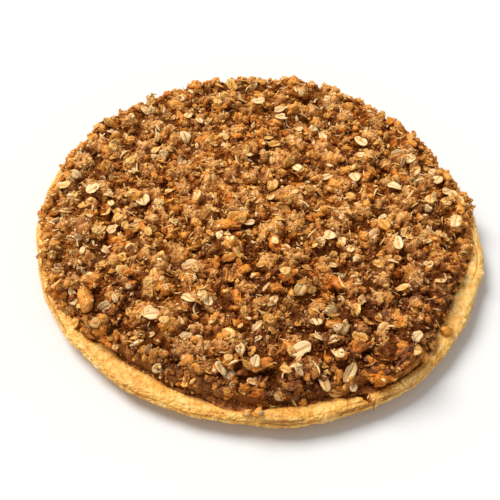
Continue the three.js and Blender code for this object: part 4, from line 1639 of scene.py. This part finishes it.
@dataclass
class Seat:
    """Where one piece is set: its place and size in mm, its turn in radians, its kind and its tone."""

    place: tuple[float, float, float]
    size: tuple[float, float, float]
    turn: tuple[float, float, float]
    kind: int
    tone: float


class SeatTree:
    """Geometry Nodes tree that sets a shape on each seat, with the seat's own size, turn and kind."""

    def __init__(self) -> None:
        """Builds the tree."""
        self.tree = bpy.data.node_groups.new("Seat pieces", "GeometryNodeTree")
        for name, kind in (("Geometry", "NodeSocketGeometry"), ("Kinds", "NodeSocketCollection"),
                           ("Finish", "NodeSocketMaterial")):
            self.tree.interface.new_socket(name, in_out="INPUT", socket_type=kind)
        self.tree.interface.new_socket("Geometry", in_out="OUTPUT", socket_type="NodeSocketGeometry")
        sheet = Sheet(self.tree)
        given = sheet.add("NodeGroupInput").outputs
        kinds = sheet.add("GeometryNodeCollectionInfo", {
            "Collection": given["Kinds"], "Separate Children": True, "Reset Children": True})
        read = {}
        for name, kind in (("size", "FLOAT_VECTOR"), ("turn", "FLOAT_VECTOR"), ("kind", "INT")):
            node = sheet.add("GeometryNodeInputNamedAttribute", {"Name": name}, data_type=kind)
            read[name] = sheet.out(node, "Attribute")
        turned = sheet.add("FunctionNodeEulerToRotation", {"Euler": read["turn"]})
        pieces = sheet.add("GeometryNodeInstanceOnPoints", {
            "Points": given["Geometry"], "Instance": kinds.outputs[0], "Pick Instance": True,
            "Instance Index": read["kind"], "Rotation": turned.outputs[0], "Scale": read["size"]})
        real = sheet.add("GeometryNodeRealizeInstances", {"Geometry": pieces.outputs[0]})
        dressed = sheet.add("GeometryNodeSetMaterial", {"Geometry": real.outputs[0], "Material": given["Finish"]})
        sheet.add("NodeGroupOutput", {"Geometry": dressed.outputs[0]})

    def seat(self, name: str, seats: list[Seat], shapes: bpy.types.Collection, finish: Finish) -> bpy.types.Mesh:
        """Sets a shape on each seat.

        Args:
            name: the new piece's name.
            seats: where each piece goes.
            shapes: the shapes to pick from, by kind.
            finish: the pieces' material.

        Returns:
            The pieces as one plain mesh.
        """
        mesh = bpy.data.meshes.new(name)
        mesh.from_pydata([tuple(v * MM for v in seat.place) for seat in seats], [], [])
        for key in ("size", "turn"):
            values = np.array([getattr(seat, key) for seat in seats], dtype=np.float32).ravel()
            mesh.attributes.new(key, "FLOAT_VECTOR", "POINT").data.foreach_set("vector", values)
        mesh.attributes.new("kind", "INT", "POINT").data.foreach_set("value", [seat.kind for seat in seats])
        mesh.attributes.new("tone", "FLOAT", "POINT").data.foreach_set("value", [seat.tone for seat in seats])
        carrier = link_object(name, mesh)
        modifier = carrier.modifiers.new("Seat", "NODES")
        modifier.node_group = self.tree
        set_inputs(modifier, {"Kinds": shapes, "Finish": finish.material})
        made = plain_mesh(carrier)
        bpy.data.objects.remove(carrier)
        return made


class LevelMap:
    """A map of how high the heap's surface is on average round each place."""

    CELL = 1.0
    HALF = 128
    SPREAD = 4.2
    LOWEST = -20.0

    def __init__(self, clouds: list[Array]) -> None:
        """Builds the map.

        Args:
            clouds: the corners of each piece, in mm.
        """
        tops = np.full((2 * self.HALF, 2 * self.HALF), self.LOWEST)
        for points in clouds:
            np.maximum.at(tops, self._cells(points), points[:, 2])
        known = (tops > self.LOWEST).astype(float)
        self.levels = self._spread(tops * known) / np.maximum(self._spread(known), 1e-6)

    def at(self, points: Array) -> Array:
        """Returns the map's level at each point."""
        return self.levels[self._cells(points)]

    def _cells(self, points: Array) -> Arrays:
        """Returns the map's cell under each point, as two rows of numbers."""
        cells = np.round(points[:, :2] / self.CELL).astype(int) + self.HALF
        cells = np.clip(cells, 0, 2 * self.HALF - 1)
        return cells[:, 0], cells[:, 1]

    def _spread(self, values: Array) -> Array:
        """Blurs the map by its spread both ways."""
        reach = np.arange(-int(3 * self.SPREAD), int(3 * self.SPREAD) + 1)
        weights = np.exp(-0.5 * (reach / self.SPREAD) ** 2)
        for axis in (0, 1):
            values = np.apply_along_axis(np.convolve, axis, values, weights, "same")
        return values


def set_inputs(modifier: bpy.types.NodesModifier, values: dict[str, object]) -> None:
    """Sets a Geometry Nodes modifier's inputs by the names of its tree's sockets."""
    for socket in modifier.node_group.interface.items_tree:
        if socket.item_type == "SOCKET" and socket.in_out == "INPUT" and socket.name in values:
            modifier[socket.identifier] = values[socket.name]


def plain_mesh(carrier: bpy.types.Object) -> bpy.types.Mesh:
    """Evaluates an object's modifiers into a plain mesh and takes them off."""
    graph = bpy.context.evaluated_depsgraph_get()
    mesh = bpy.data.meshes.new_from_object(carrier.evaluated_get(graph))
    carrier.modifiers.clear()
    return mesh


@dataclass(frozen=True)
class EdgeRow:
    """A row of clumps along the heap's edge: how many, their radius range and how far in they sit, in mm."""

    count: int
    smallest: float
    largest: float
    inset: float


@dataclass
class CrumbleHeap:
    """The heap: a sticky bed, clumps and nuggets on it, and oats, slivers and crumbs strewn over them."""

    form: TartForm
    grain: bpy.types.NodeTree
    bed_rings: int = 180
    bed_depth: float = 0.6
    clump_kinds: int = 14
    block_kinds: int = 3
    edge_rows: tuple[EdgeRow, ...] = (
        EdgeRow(140, 1.4, 2.6, -0.2), EdgeRow(120, 1.8, 3.2, 2.2), EdgeRow(70, 2.4, 4.0, 5.0),
    )
    nugget_rows: tuple[EdgeRow, ...] = (
        EdgeRow(240, 0.6, 1.4, -0.3), EdgeRow(240, 0.6, 1.5, 1.0), EdgeRow(200, 0.7, 1.7, 2.8),
        EdgeRow(160, 0.8, 1.8, 5.0),
    )
    rim_crumbs: int = 12
    crevice: float = 1.8
    crest: float = 1.9
    parts: list[bpy.types.Object] = field(default_factory=list)

    MIDDLE_CLUMPS = Strewn("middle_clumps", 0.022, 5.0, 2.0, 3.8, Lie.LEANING, 0.35, Tones(0.1, 0.95, 1.0), 1)
    NUGGETS = Strewn("nuggets", 0.045, 3.0, 1.1, 2.6, Lie.TUMBLED, 0.3, Tones(0.05, 0.95, 1.0), 3)
    BROKEN_OATS = Strewn("broken_oats", 0.018, 3.0, 2.2, 4.6, Lie.LEANING, 0.25, Tones(0.1, 0.9, 1.5), 5)
    ROLLED_OATS = Strewn("rolled_oats", 0.0062, 5.2, 5.0, 8.6, Lie.FLAT, 0.5, Tones(0.15, 1.0, 1.2), 7)
    SLIVERS = Strewn("oat_slivers", 0.007, 3.5, 3.5, 8.0, Lie.LEANING, 0.5, Tones(0.2, 0.9, 1.2), 9)
    CRUMBS = Strewn("fine_crumbs", 0.17, 0.9, 0.4, 1.1, Lie.TUMBLED, 0.12, Tones(0.05, 1.0, 1.3), 13)

    def __post_init__(self) -> None:
        """Makes the finishes, the shapes and the two node trees."""
        self.shapes = PieceShapes()
        self.draw = np.random.default_rng(31)
        self.lumps = self.form.lumps()
        self.bed_finish = BedFinish(self.grain)
        self.clump_finish = ClumpFinish(self.grain)
        self.crumb_finish = CrumbFinish(self.grain)
        self.oat_finish = OatFinish(self.grain)
        self.strew_tree = StrewTree()
        self.seat_tree = SeatTree()

    def build(self) -> list[bpy.types.Object]:
        """Builds the heap from the bed up.

        Returns:
            The heap's pieces.
        """
        shapes, strew = self.shapes, self.strew_tree.strew
        self._keep("crumble_bed", self.bed(), smooth=False)
        self._keep("large_clumps", self.large_clumps(), smooth=False)
        self._keep("small_clumps", self.small_clumps(), smooth=False)
        self._keep("edge_clumps", self.edge_clumps(), smooth=False)
        ground = self._ground("ground_for_clumps", 0.85)
        middle = self._collection("middle_clump", 14, lambda: shapes.clump(3, 8), smooth=False)
        self._keep("middle_clumps", strew(self.MIDDLE_CLUMPS, ground, middle, self.clump_finish), smooth=False)
        ground = self._ground("ground_for_nuggets", 0.9)
        nuggets = self._collection("nugget", 12, lambda: shapes.clump(2, 6), smooth=False)
        self._keep("nuggets", strew(self.NUGGETS, ground, nuggets, self.clump_finish), smooth=False)
        along_edge = self._edge_seats(self.nugget_rows)
        self._keep("edge_nuggets", self.seat_tree.seat("edge_nuggets", along_edge, nuggets, self.clump_finish),
                   smooth=False)
        ground = self._ground("ground_for_oats", 0.0)
        broken = self._collection("broken_oat", 12, shapes.broken_oat)
        self._keep("broken_oats", strew(self.BROKEN_OATS, ground, broken, self.oat_finish))
        oats = self._collection("oat", 14, lambda: shapes.oat(3, 12))
        self._keep("rolled_oats", strew(self.ROLLED_OATS, ground, oats, self.oat_finish))
        slivers = self._collection("sliver", 10, shapes.sliver)
        self._keep("oat_slivers", strew(self.SLIVERS, ground, slivers, self.oat_finish))
        ground = self._ground("ground_for_crumbs", 0.5)
        crumbs = self._collection("crumb", 12, shapes.crumb, smooth=False)
        self._keep("fine_crumbs", strew(self.CRUMBS, ground, crumbs, self.crumb_finish), smooth=False)
        self._keep("rim_crumbs", self.crumbs_on_rim(crumbs), smooth=False)
        self._keep("standout_oats", self.standout_oats(ground))
        self._store_crests()
        return self.parts

    def bed(self) -> bpy.types.Mesh:
        """Makes the bed: the heap's own form with a rough skin, closed down to what carries it.

        Returns:
            The bed's mesh.
        """
        share, azimuth, faces = ring_disc(self.bed_rings)
        radius = share * self.form.crumble_edge(azimuth)
        x, y = radius * np.cos(azimuth), radius * np.sin(azimuth)
        fade = self.form.edge_fade_at(x, y)
        raised = self.form.ground(x, y) + 0.6 * self.form.lump_height(self.lumps, x, y)
        relief, lights = self._bed_relief(x, y)
        z = raised - self.bed_depth * fade + relief * (0.6 + 0.4 * fade)
        edge = np.flatnonzero(share == 1.0)
        carrier = self.form.rim_surface(azimuth[edge], radius[edge])
        z[edge] = np.minimum(z[edge], carrier + 0.9)
        foot = len(x) + np.arange(len(edge))
        points = np.vstack([
            np.stack([x, y, z], axis=1), np.stack([x[edge], y[edge], carrier - 0.25], axis=1),
            [[0.0, 0.0, self.form.filling_level + 0.3]],
        ])
        after = np.roll(np.arange(len(edge)), -1)
        skirt = [
            np.stack([foot, foot[after], edge[after]], axis=1), np.stack([foot, edge[after], edge], axis=1),
            np.stack([np.full_like(foot, len(points) - 1), foot[after], foot], axis=1),
        ]
        mesh = solid_mesh("crumble_bed", points, np.concatenate([faces, *skirt]))
        mesh.materials.append(self.bed_finish.material)
        tone = 0.5 + 0.3 * fractal(points, 9.0, 2, 44.0)
        # painted light: raised nodules are made paler and the hollows between them darker
        tone[:len(lights)] += lights
        set_attribute(mesh, "tone", tone)
        return mesh

    @staticmethod
    def _bed_relief(x: Array, y: Array) -> Arrays:
        """Returns the bed's rough skin in mm, and a painted highlight on its nodules with painted shade between them.
        """
        flat = np.stack([x, y, np.zeros_like(x)], axis=1)
        bend = np.stack([fractal(flat, 7.0, 2, 51.0), fractal(flat, 7.0, 2, 52.0), np.zeros_like(x)], axis=1)
        bent = flat + 1.6 * bend
        sway = np.stack([fractal(flat, 2.2, 2, 53.0), fractal(flat, 2.2, 2, 54.0), np.zeros_like(x)], axis=1)
        clusters, knobs = nodules(bent, 9.5, 5.0) - 0.4, nodules(bent, 3.8, 6.0) - 0.4
        beads = nodules(flat + 0.5 * sway, 1.75, 7.0) - 0.4
        relief = 6.6 * clusters + 2.3 * knobs + 1.3 * beads + 0.8 * fractal(flat, 3.0, 3, 31.0)
        relief += 1.5 * chips(flat + sway, 2.4, 8.0)
        return relief, 0.7 * clusters + 0.3 * knobs + 0.4 * beads

    def large_clumps(self) -> bpy.types.Mesh:
        """Sets a fine clump on each large lump of the heap and on each place that stands out."""
        make = self.shapes.oat_clump
        kinds = self._collection("large_clump", self.clump_kinds, lambda: make(4, 13, 3, 1.05), smooth=False)
        for number in range(self.block_kinds):
            self._add_kind(kinds, self.clump_kinds + number, self.shapes.block(), smooth=False)
        large = [lump for lump in self.lumps if lump.radius >= 6.0]
        seats = [self._seat(lump, 0.9) for lump in large if self._is_free(lump)]
        seats += [self._standout_seat(place) for place in STANDOUT_CLUMPS]
        return self.seat_tree.seat("large_clumps", seats, kinds, self.clump_finish)

    def small_clumps(self) -> bpy.types.Mesh:
        """Sets a coarser clump on each small lump of the heap."""
        make = self.shapes.oat_clump
        kinds = self._collection("small_clump", self.clump_kinds, lambda: make(3, 9, 1, 1.4), smooth=False)
        seats = [self._seat(lump, 0.86) for lump in self.lumps if lump.radius < 6.0]
        return self.seat_tree.seat("small_clumps", seats, kinds, self.clump_finish)

    def edge_clumps(self) -> bpy.types.Mesh:
        """Sets rows of clumps along the heap's ragged edge, on what lies there."""
        kinds = self._collection("edge_clump", self.clump_kinds, lambda: self.shapes.clump(3, 8), smooth=False)
        return self.seat_tree.seat("edge_clumps", self._edge_seats(self.edge_rows), kinds, self.clump_finish)

    def crumbs_on_rim(self, crumbs: bpy.types.Collection) -> bpy.types.Mesh:
        """Drops loose crumbs on the bare rim.

        Args:
            crumbs: the shapes to pick from.

        Returns:
            The crumbs as one plain mesh.
        """
        seats = []
        while len(seats) < self.rim_crumbs:
            azimuth = np.array([self.draw.uniform(-math.pi, math.pi)])
            inner, outer = float(self.form.crumble_edge(azimuth)[0]), float(self.form.outer(azimuth)[0]) - 1.5
            radius = inner + (outer - inner) * self.draw.uniform(0.0, 1.0) ** 1.7
            size = self.draw.uniform(0.3, 0.95)
            if radius > inner + 0.6:
                level = float(self.form.rim_surface(azimuth, np.array([radius]))[0])
                seats.append(Seat(
                    (radius * math.cos(azimuth[0]), radius * math.sin(azimuth[0]), level + 0.3 * size + 0.35),
                    (size, size, size), tuple(self.draw.uniform(-3.1, 3.1, 3)), int(self.draw.integers(0, 12)),
                    float(self.draw.uniform(0.8, 1.2))))
        return self.seat_tree.seat("rim_crumbs", seats, crumbs, self.crumb_finish)

    def standout_oats(self, ground: bpy.types.Object) -> bpy.types.Mesh:
        """Lays the oats that stand out in the photograph on the ground below them.

        Args:
            ground: the object that they lie on.

        Returns:
            The oats as one plain mesh.
        """
        kinds = self._collection("standout_oat", 8, lambda: self.shapes.oat(6, 22))
        up = Vector((0.0, 0.0, 1.0))
        surface = BVHTree.FromPolygons(mesh_points(ground.data).tolist(), mesh_faces(ground.data).tolist())
        seats = []
        for number, oat in enumerate(STANDOUT_OATS):
            place, normal, _, _ = surface.ray_cast(Vector((oat.x, oat.y, 100.0)), -up)
            level = place.z if place else self.form.rim_height
            lean = up.lerp(normal, 0.35).normalized() if place else up
            basis = up.rotation_difference(lean).to_matrix() @ Matrix.Rotation(math.radians(oat.turn), 3, "Z")
            basis = basis @ Matrix.Rotation(math.radians(oat.tip), 3, "X")
            seats.append(Seat(
                (oat.x, oat.y, level + 0.75), (oat.length, oat.width / 0.74, oat.length),
                tuple(basis.to_euler()), number % 8, oat.bake.value))
        return self.seat_tree.seat("standout_oats", seats, kinds, self.oat_finish)

    def _seat(self, lump: Lump, share: float) -> Seat:
        """Works out the seat of the clump that stands for a lump, whose top is the lump's."""
        x, y = np.array([lump.x]), np.array([lump.y])
        fade = float(self.form.edge_fade_at(x, y)[0])
        top = float(self.form.ground(x, y)[0]) + lump.height * fade
        wide = share * lump.radius
        stretch = self.draw.uniform(0.85, 1.15, 3)
        tips = self.draw.uniform((-0.5, -0.5, 0.0), (0.5, 0.5, 6.283))
        return Seat((lump.x, lump.y, top - 0.62 * wide), tuple(wide * stretch), tuple(tips),
                    int(self.draw.integers(0, self.clump_kinds)), float(self.draw.uniform(0.1, 0.9)))

    def _is_by_crack(self, turn: float) -> bool:
        """Says whether an azimuth in radians lies by the widest crack in the rim."""
        crack = self.form.cracks[0]
        away = (math.degrees(turn) - crack.azimuth + 180.0) % 360.0 - 180.0
        return abs(away) < 1.8

    def _edge_seats(self, rows: tuple[EdgeRow, ...]) -> list[Seat]:
        """Works out the seats of rows of clumps or nuggets along the heap's ragged edge."""
        bed = self.parts[0].data
        surface = BVHTree.FromPolygons(mesh_points(bed).tolist(), mesh_faces(bed).tolist())
        seats = []
        for row, number in [(row, number) for row in rows for number in range(row.count)]:
            turn = 2.0 * math.pi * (number + self.draw.uniform(-0.35, 0.35)) / row.count
            if self._is_by_crack(turn):
                continue
            azimuth = np.array([turn])
            wide = self.draw.uniform(row.smallest, row.largest)
            radius = self.form.crumble_edge(azimuth) - 0.45 * wide - row.inset - self.draw.uniform(-0.6, 1.2)
            x, y = float(radius[0]) * math.cos(turn), float(radius[0]) * math.sin(turn)
            place = surface.ray_cast(Vector((x, y, 100.0)), Vector((0.0, 0.0, -1.0)))[0]
            level = place.z if place else float(self.form.rim_surface(azimuth, radius)[0])
            stretch = self.draw.uniform(0.8, 1.2, 3)
            seats.append(Seat(
                (x, y, level + 0.15 * wide), tuple(wide * stretch),
                tuple(self.draw.uniform(-0.6, 6.2, 3) * (0.2, 0.2, 1.0)),
                int(self.draw.integers(0, 12)), float(self.draw.uniform(0.1, 0.85))))
        return seats

    def _standout_seat(self, place: Standout) -> Seat:
        """Works out the seat of a clump that stands out."""
        x, y = np.array([place.x]), np.array([place.y])
        radius = np.hypot(x, y)
        on_heap = radius < self.form.crumble_edge(np.arctan2(y, x))
        level = self.form.ground(x, y) if on_heap[0] else self.form.rim_surface(np.arctan2(y, x), radius) + 0.8
        wide, deep = place.length / 2, place.width / 2
        kind = int(self.draw.integers(0, self.clump_kinds))
        if place.bake is Bake.GOLDEN:
            kind = self.clump_kinds + kind % self.block_kinds
        return Seat((place.x, place.y, float(level[0]) + 0.6 * deep), (wide, deep, deep),
                    (0.0, 0.0, math.radians(place.turn)), kind, place.bake.value)

    @staticmethod
    def _is_free(lump: Lump) -> bool:
        """Says whether a lump is clear of the clumps that stand out."""
        return all(math.dist((lump.x, lump.y), (c.x, c.y)) > 7.0 for c in STANDOUT_CLUMPS)

    def _collection(self, name: str, count: int, make: Callable[[], Shape],
                    smooth: bool = True) -> bpy.types.Collection:
        """Makes a collection of shapes to pick from, outside the scene.

        Args:
            name: the kind's name.
            count: how many shapes there are.
            make: makes one shape.
            smooth: whether their faces are shaded smooth.

        Returns:
            The collection.
        """
        collection = bpy.data.collections.new(name)
        for number in range(count):
            self._add_kind(collection, number, make(), smooth)
        return collection

    @staticmethod
    def _add_kind(collection: bpy.types.Collection, number: int, shape: Shape, smooth: bool = True) -> None:
        """Adds one shape to a collection of shapes to pick from."""
        name = f"{collection.name}_{number:02d}"
        mesh = solid_mesh(name, shape.points, shape.faces)
        set_attribute(mesh, "oat", shape.oat)
        if smooth:
            mesh.shade_smooth()
        collection.objects.link(bpy.data.objects.new(name, mesh))

    def _ground(self, name: str, bare_tops: float) -> bpy.types.Object:
        """Joins the pieces made so far into one hidden ground, closed round the oats that stand out.

        Args:
            name: the ground's name.
            bare_tops: the share of pieces that the tops of the clumps are spared.

        Returns:
            The ground, outside the scene.
        """
        points, faces, count = [], [], 0
        for part in self.parts:
            own = mesh_points(part.data)
            points.append(own)
            faces.append(mesh_faces(part.data) + count)
            count += len(own)
        joined = np.vstack(points)
        mesh = solid_mesh(name, joined, np.concatenate(faces))
        above = joined[:, 2] - self.form.ground(joined[:, 0], joined[:, 1])
        free = 1.0 - bare_tops * smoothstep((above + 0.5) / 2.0)
        for oat in STANDOUT_OATS:
            away = np.hypot(joined[:, 0] - oat.x, joined[:, 1] - oat.y)
            free[away < 0.5 * oat.length] = 0.0
        for clump in STANDOUT_CLUMPS:
            away = np.hypot(joined[:, 0] - clump.x, joined[:, 1] - clump.y)
            free[away < 0.4 * clump.length] *= 0.2
        set_attribute(mesh, "open", free)
        return bpy.data.objects.new(name, mesh)

    def _keep(self, name: str, mesh: bpy.types.Mesh, smooth: bool = True) -> None:
        """Stores what the finishes read and keeps the mesh as a piece of the heap."""
        points = mesh_points(mesh)
        # the moist number holds moisture near the edge plus painted shade on the near right side
        set_attribute(mesh, "moist", np.where(self._on_rim(points), 0.0, moistness_and_shade(points)))
        set_attribute(mesh, "toast", toasting(points))
        if smooth:
            mesh.shade_smooth()
        mesh.name = name
        self.parts.append(link_object(name, mesh))
        LOG.info("%s: %d triangles", name, len(mesh.polygons))

    def _store_crests(self) -> None:
        """Stores how far each point stands above the surface round it, from 0 in a crevice to 1 on a crest."""
        # the finishes paint shade into crevices and highlight onto crests from this number
        clouds = [self._over_ground(part) for part in self.parts]
        levels = LevelMap(clouds)
        for part, points in zip(self.parts, clouds):
            above = points[:, 2] - levels.at(points)
            crest = smoothstep((above + self.crevice) / (self.crevice + self.crest))
            inward = self.form.inward(points[:, 0], points[:, 1])
            crest = 0.62 + (crest - 0.62) * (0.4 + 0.6 * smoothstep((inward - 1.0) / 7.0))
            set_attribute(part.data, "crest", np.where(self._on_rim(points), 0.8, crest))

    def _on_rim(self, points: Array) -> Array:
        """Says which points lie over the bare rim."""
        return self.form.inward(points[:, 0], points[:, 1]) < -0.8

    def _over_ground(self, part: bpy.types.Object) -> Array:
        """Returns a piece's corners with their heights taken from the smooth heap under them."""
        points = mesh_points(part.data)
        points[:, 2] -= self.form.ground(points[:, 0], points[:, 1])
        return points


# Light, floor and camera


@dataclass(frozen=True)
class Studio:
    """A white table in soft light from behind and to the left."""

    floor_side: float = 6.0
    sky: float = 0.50
    key: float = 3.55
    key_softness: float = 34.0
    key_azimuth: float = 147.0
    key_height: float = 54.0

    def build(self) -> None:
        """Makes the floor, the sky and the key light."""
        world = bpy.data.worlds.new("Soft sky")
        world.use_nodes = True
        background = world.node_tree.nodes["Background"]
        background.inputs["Color"].default_value = (1.0, 1.0, 1.0, 1.0)
        background.inputs["Strength"].default_value = self.sky
        bpy.context.scene.world = world
        half = self.floor_side / 2
        mesh = bpy.data.meshes.new("white_table")
        mesh.from_pydata([(-half, -half, 0), (half, -half, 0), (half, half, 0), (-half, half, 0)], [], [(0, 1, 2, 3)])
        material = bpy.data.materials.new("white_table")
        material.use_nodes = True
        shader = material.node_tree.nodes["Principled BSDF"]
        shader.inputs["Base Color"].default_value = (0.73, 0.73, 0.73, 1.0)
        shader.inputs["Roughness"].default_value = 0.9
        shader.inputs["Specular IOR Level"].default_value = 0.0
        mesh.materials.append(material)
        link_object("white_table", mesh)
        lamp = bpy.data.lights.new("key", "SUN")
        lamp.energy = self.key
        lamp.angle = math.radians(self.key_softness)
        lamp.color = (1.0, 0.985, 0.96)
        key = bpy.data.objects.new("key", lamp)
        turn, rise = math.radians(self.key_azimuth), math.radians(self.key_height)
        towards = Vector((math.cos(turn) * math.cos(rise), math.sin(turn) * math.cos(rise), math.sin(rise)))
        key.rotation_euler = towards.to_track_quat("Z", "Y").to_euler()
        bpy.context.scene.collection.objects.link(key)
        bpy.context.scene.view_settings.view_transform = "Standard"


@dataclass(frozen=True)
class PhotoCamera:
    """The camera fitted to the photograph's outline of the rim, for a frame of 500 by 500 pixels."""

    distance: float = 540.0
    elevation: float = 49.48
    roll: float = -4.73
    target: tuple[float, float, float] = (-4.7, -15.45, 12.5)
    focal_pixels: float = 1019.3
    frame_pixels: float = 500.0
    sensor: float = 36.0

    def build(self) -> None:
        """Makes the camera and hands it to the scene."""
        rise, roll = math.radians(self.elevation), math.radians(self.roll)
        forward = Vector((0.0, math.cos(rise), -math.sin(rise)))
        right = Vector((1.0, 0.0, 0.0))
        up = right.cross(forward)
        image_right = right * math.cos(roll) - up * math.sin(roll)
        image_up = right * math.sin(roll) + up * math.cos(roll)
        data = bpy.data.cameras.new("camera")
        data.sensor_width = self.sensor
        data.lens = self.focal_pixels * self.sensor / self.frame_pixels
        data.clip_start, data.clip_end = 0.01, 20.0
        camera = bpy.data.objects.new("camera", data)
        place = Vector(self.target) * MM - forward * self.distance * MM
        turn = Matrix((image_right, image_up, -forward)).transposed().to_4x4()
        camera.matrix_world = Matrix.Translation(place) @ turn
        bpy.context.scene.collection.objects.link(camera)
        bpy.context.scene.camera = camera


def main() -> None:
    """Builds the tart, its light and its camera, and reports each piece."""
    logging.basicConfig(level=logging.INFO, format="%(name)s: %(message)s")
    form = TartForm()
    grain = baked_grain_group()
    PhotoCamera().build()
    Studio().build()
    shell = ShortcrustShell(form).build(PastryFinish(grain))
    filling = CookedFilling(form).build(FillingFinish(grain))
    heap = CrumbleHeap(form, grain).build()
    for piece, node, slot in [(shell, "pastry_shell", "pastry"), (filling, "apple_filling", "filling"),
                              *[(part, "oat_crumble", "crumble") for part in heap]]:
        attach(piece, BODY)
        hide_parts(node)
        LOG.info("%s stands for %s with %d triangles", piece.name, node, len(piece.data.polygons))


if __name__ == "__main__":
    main()
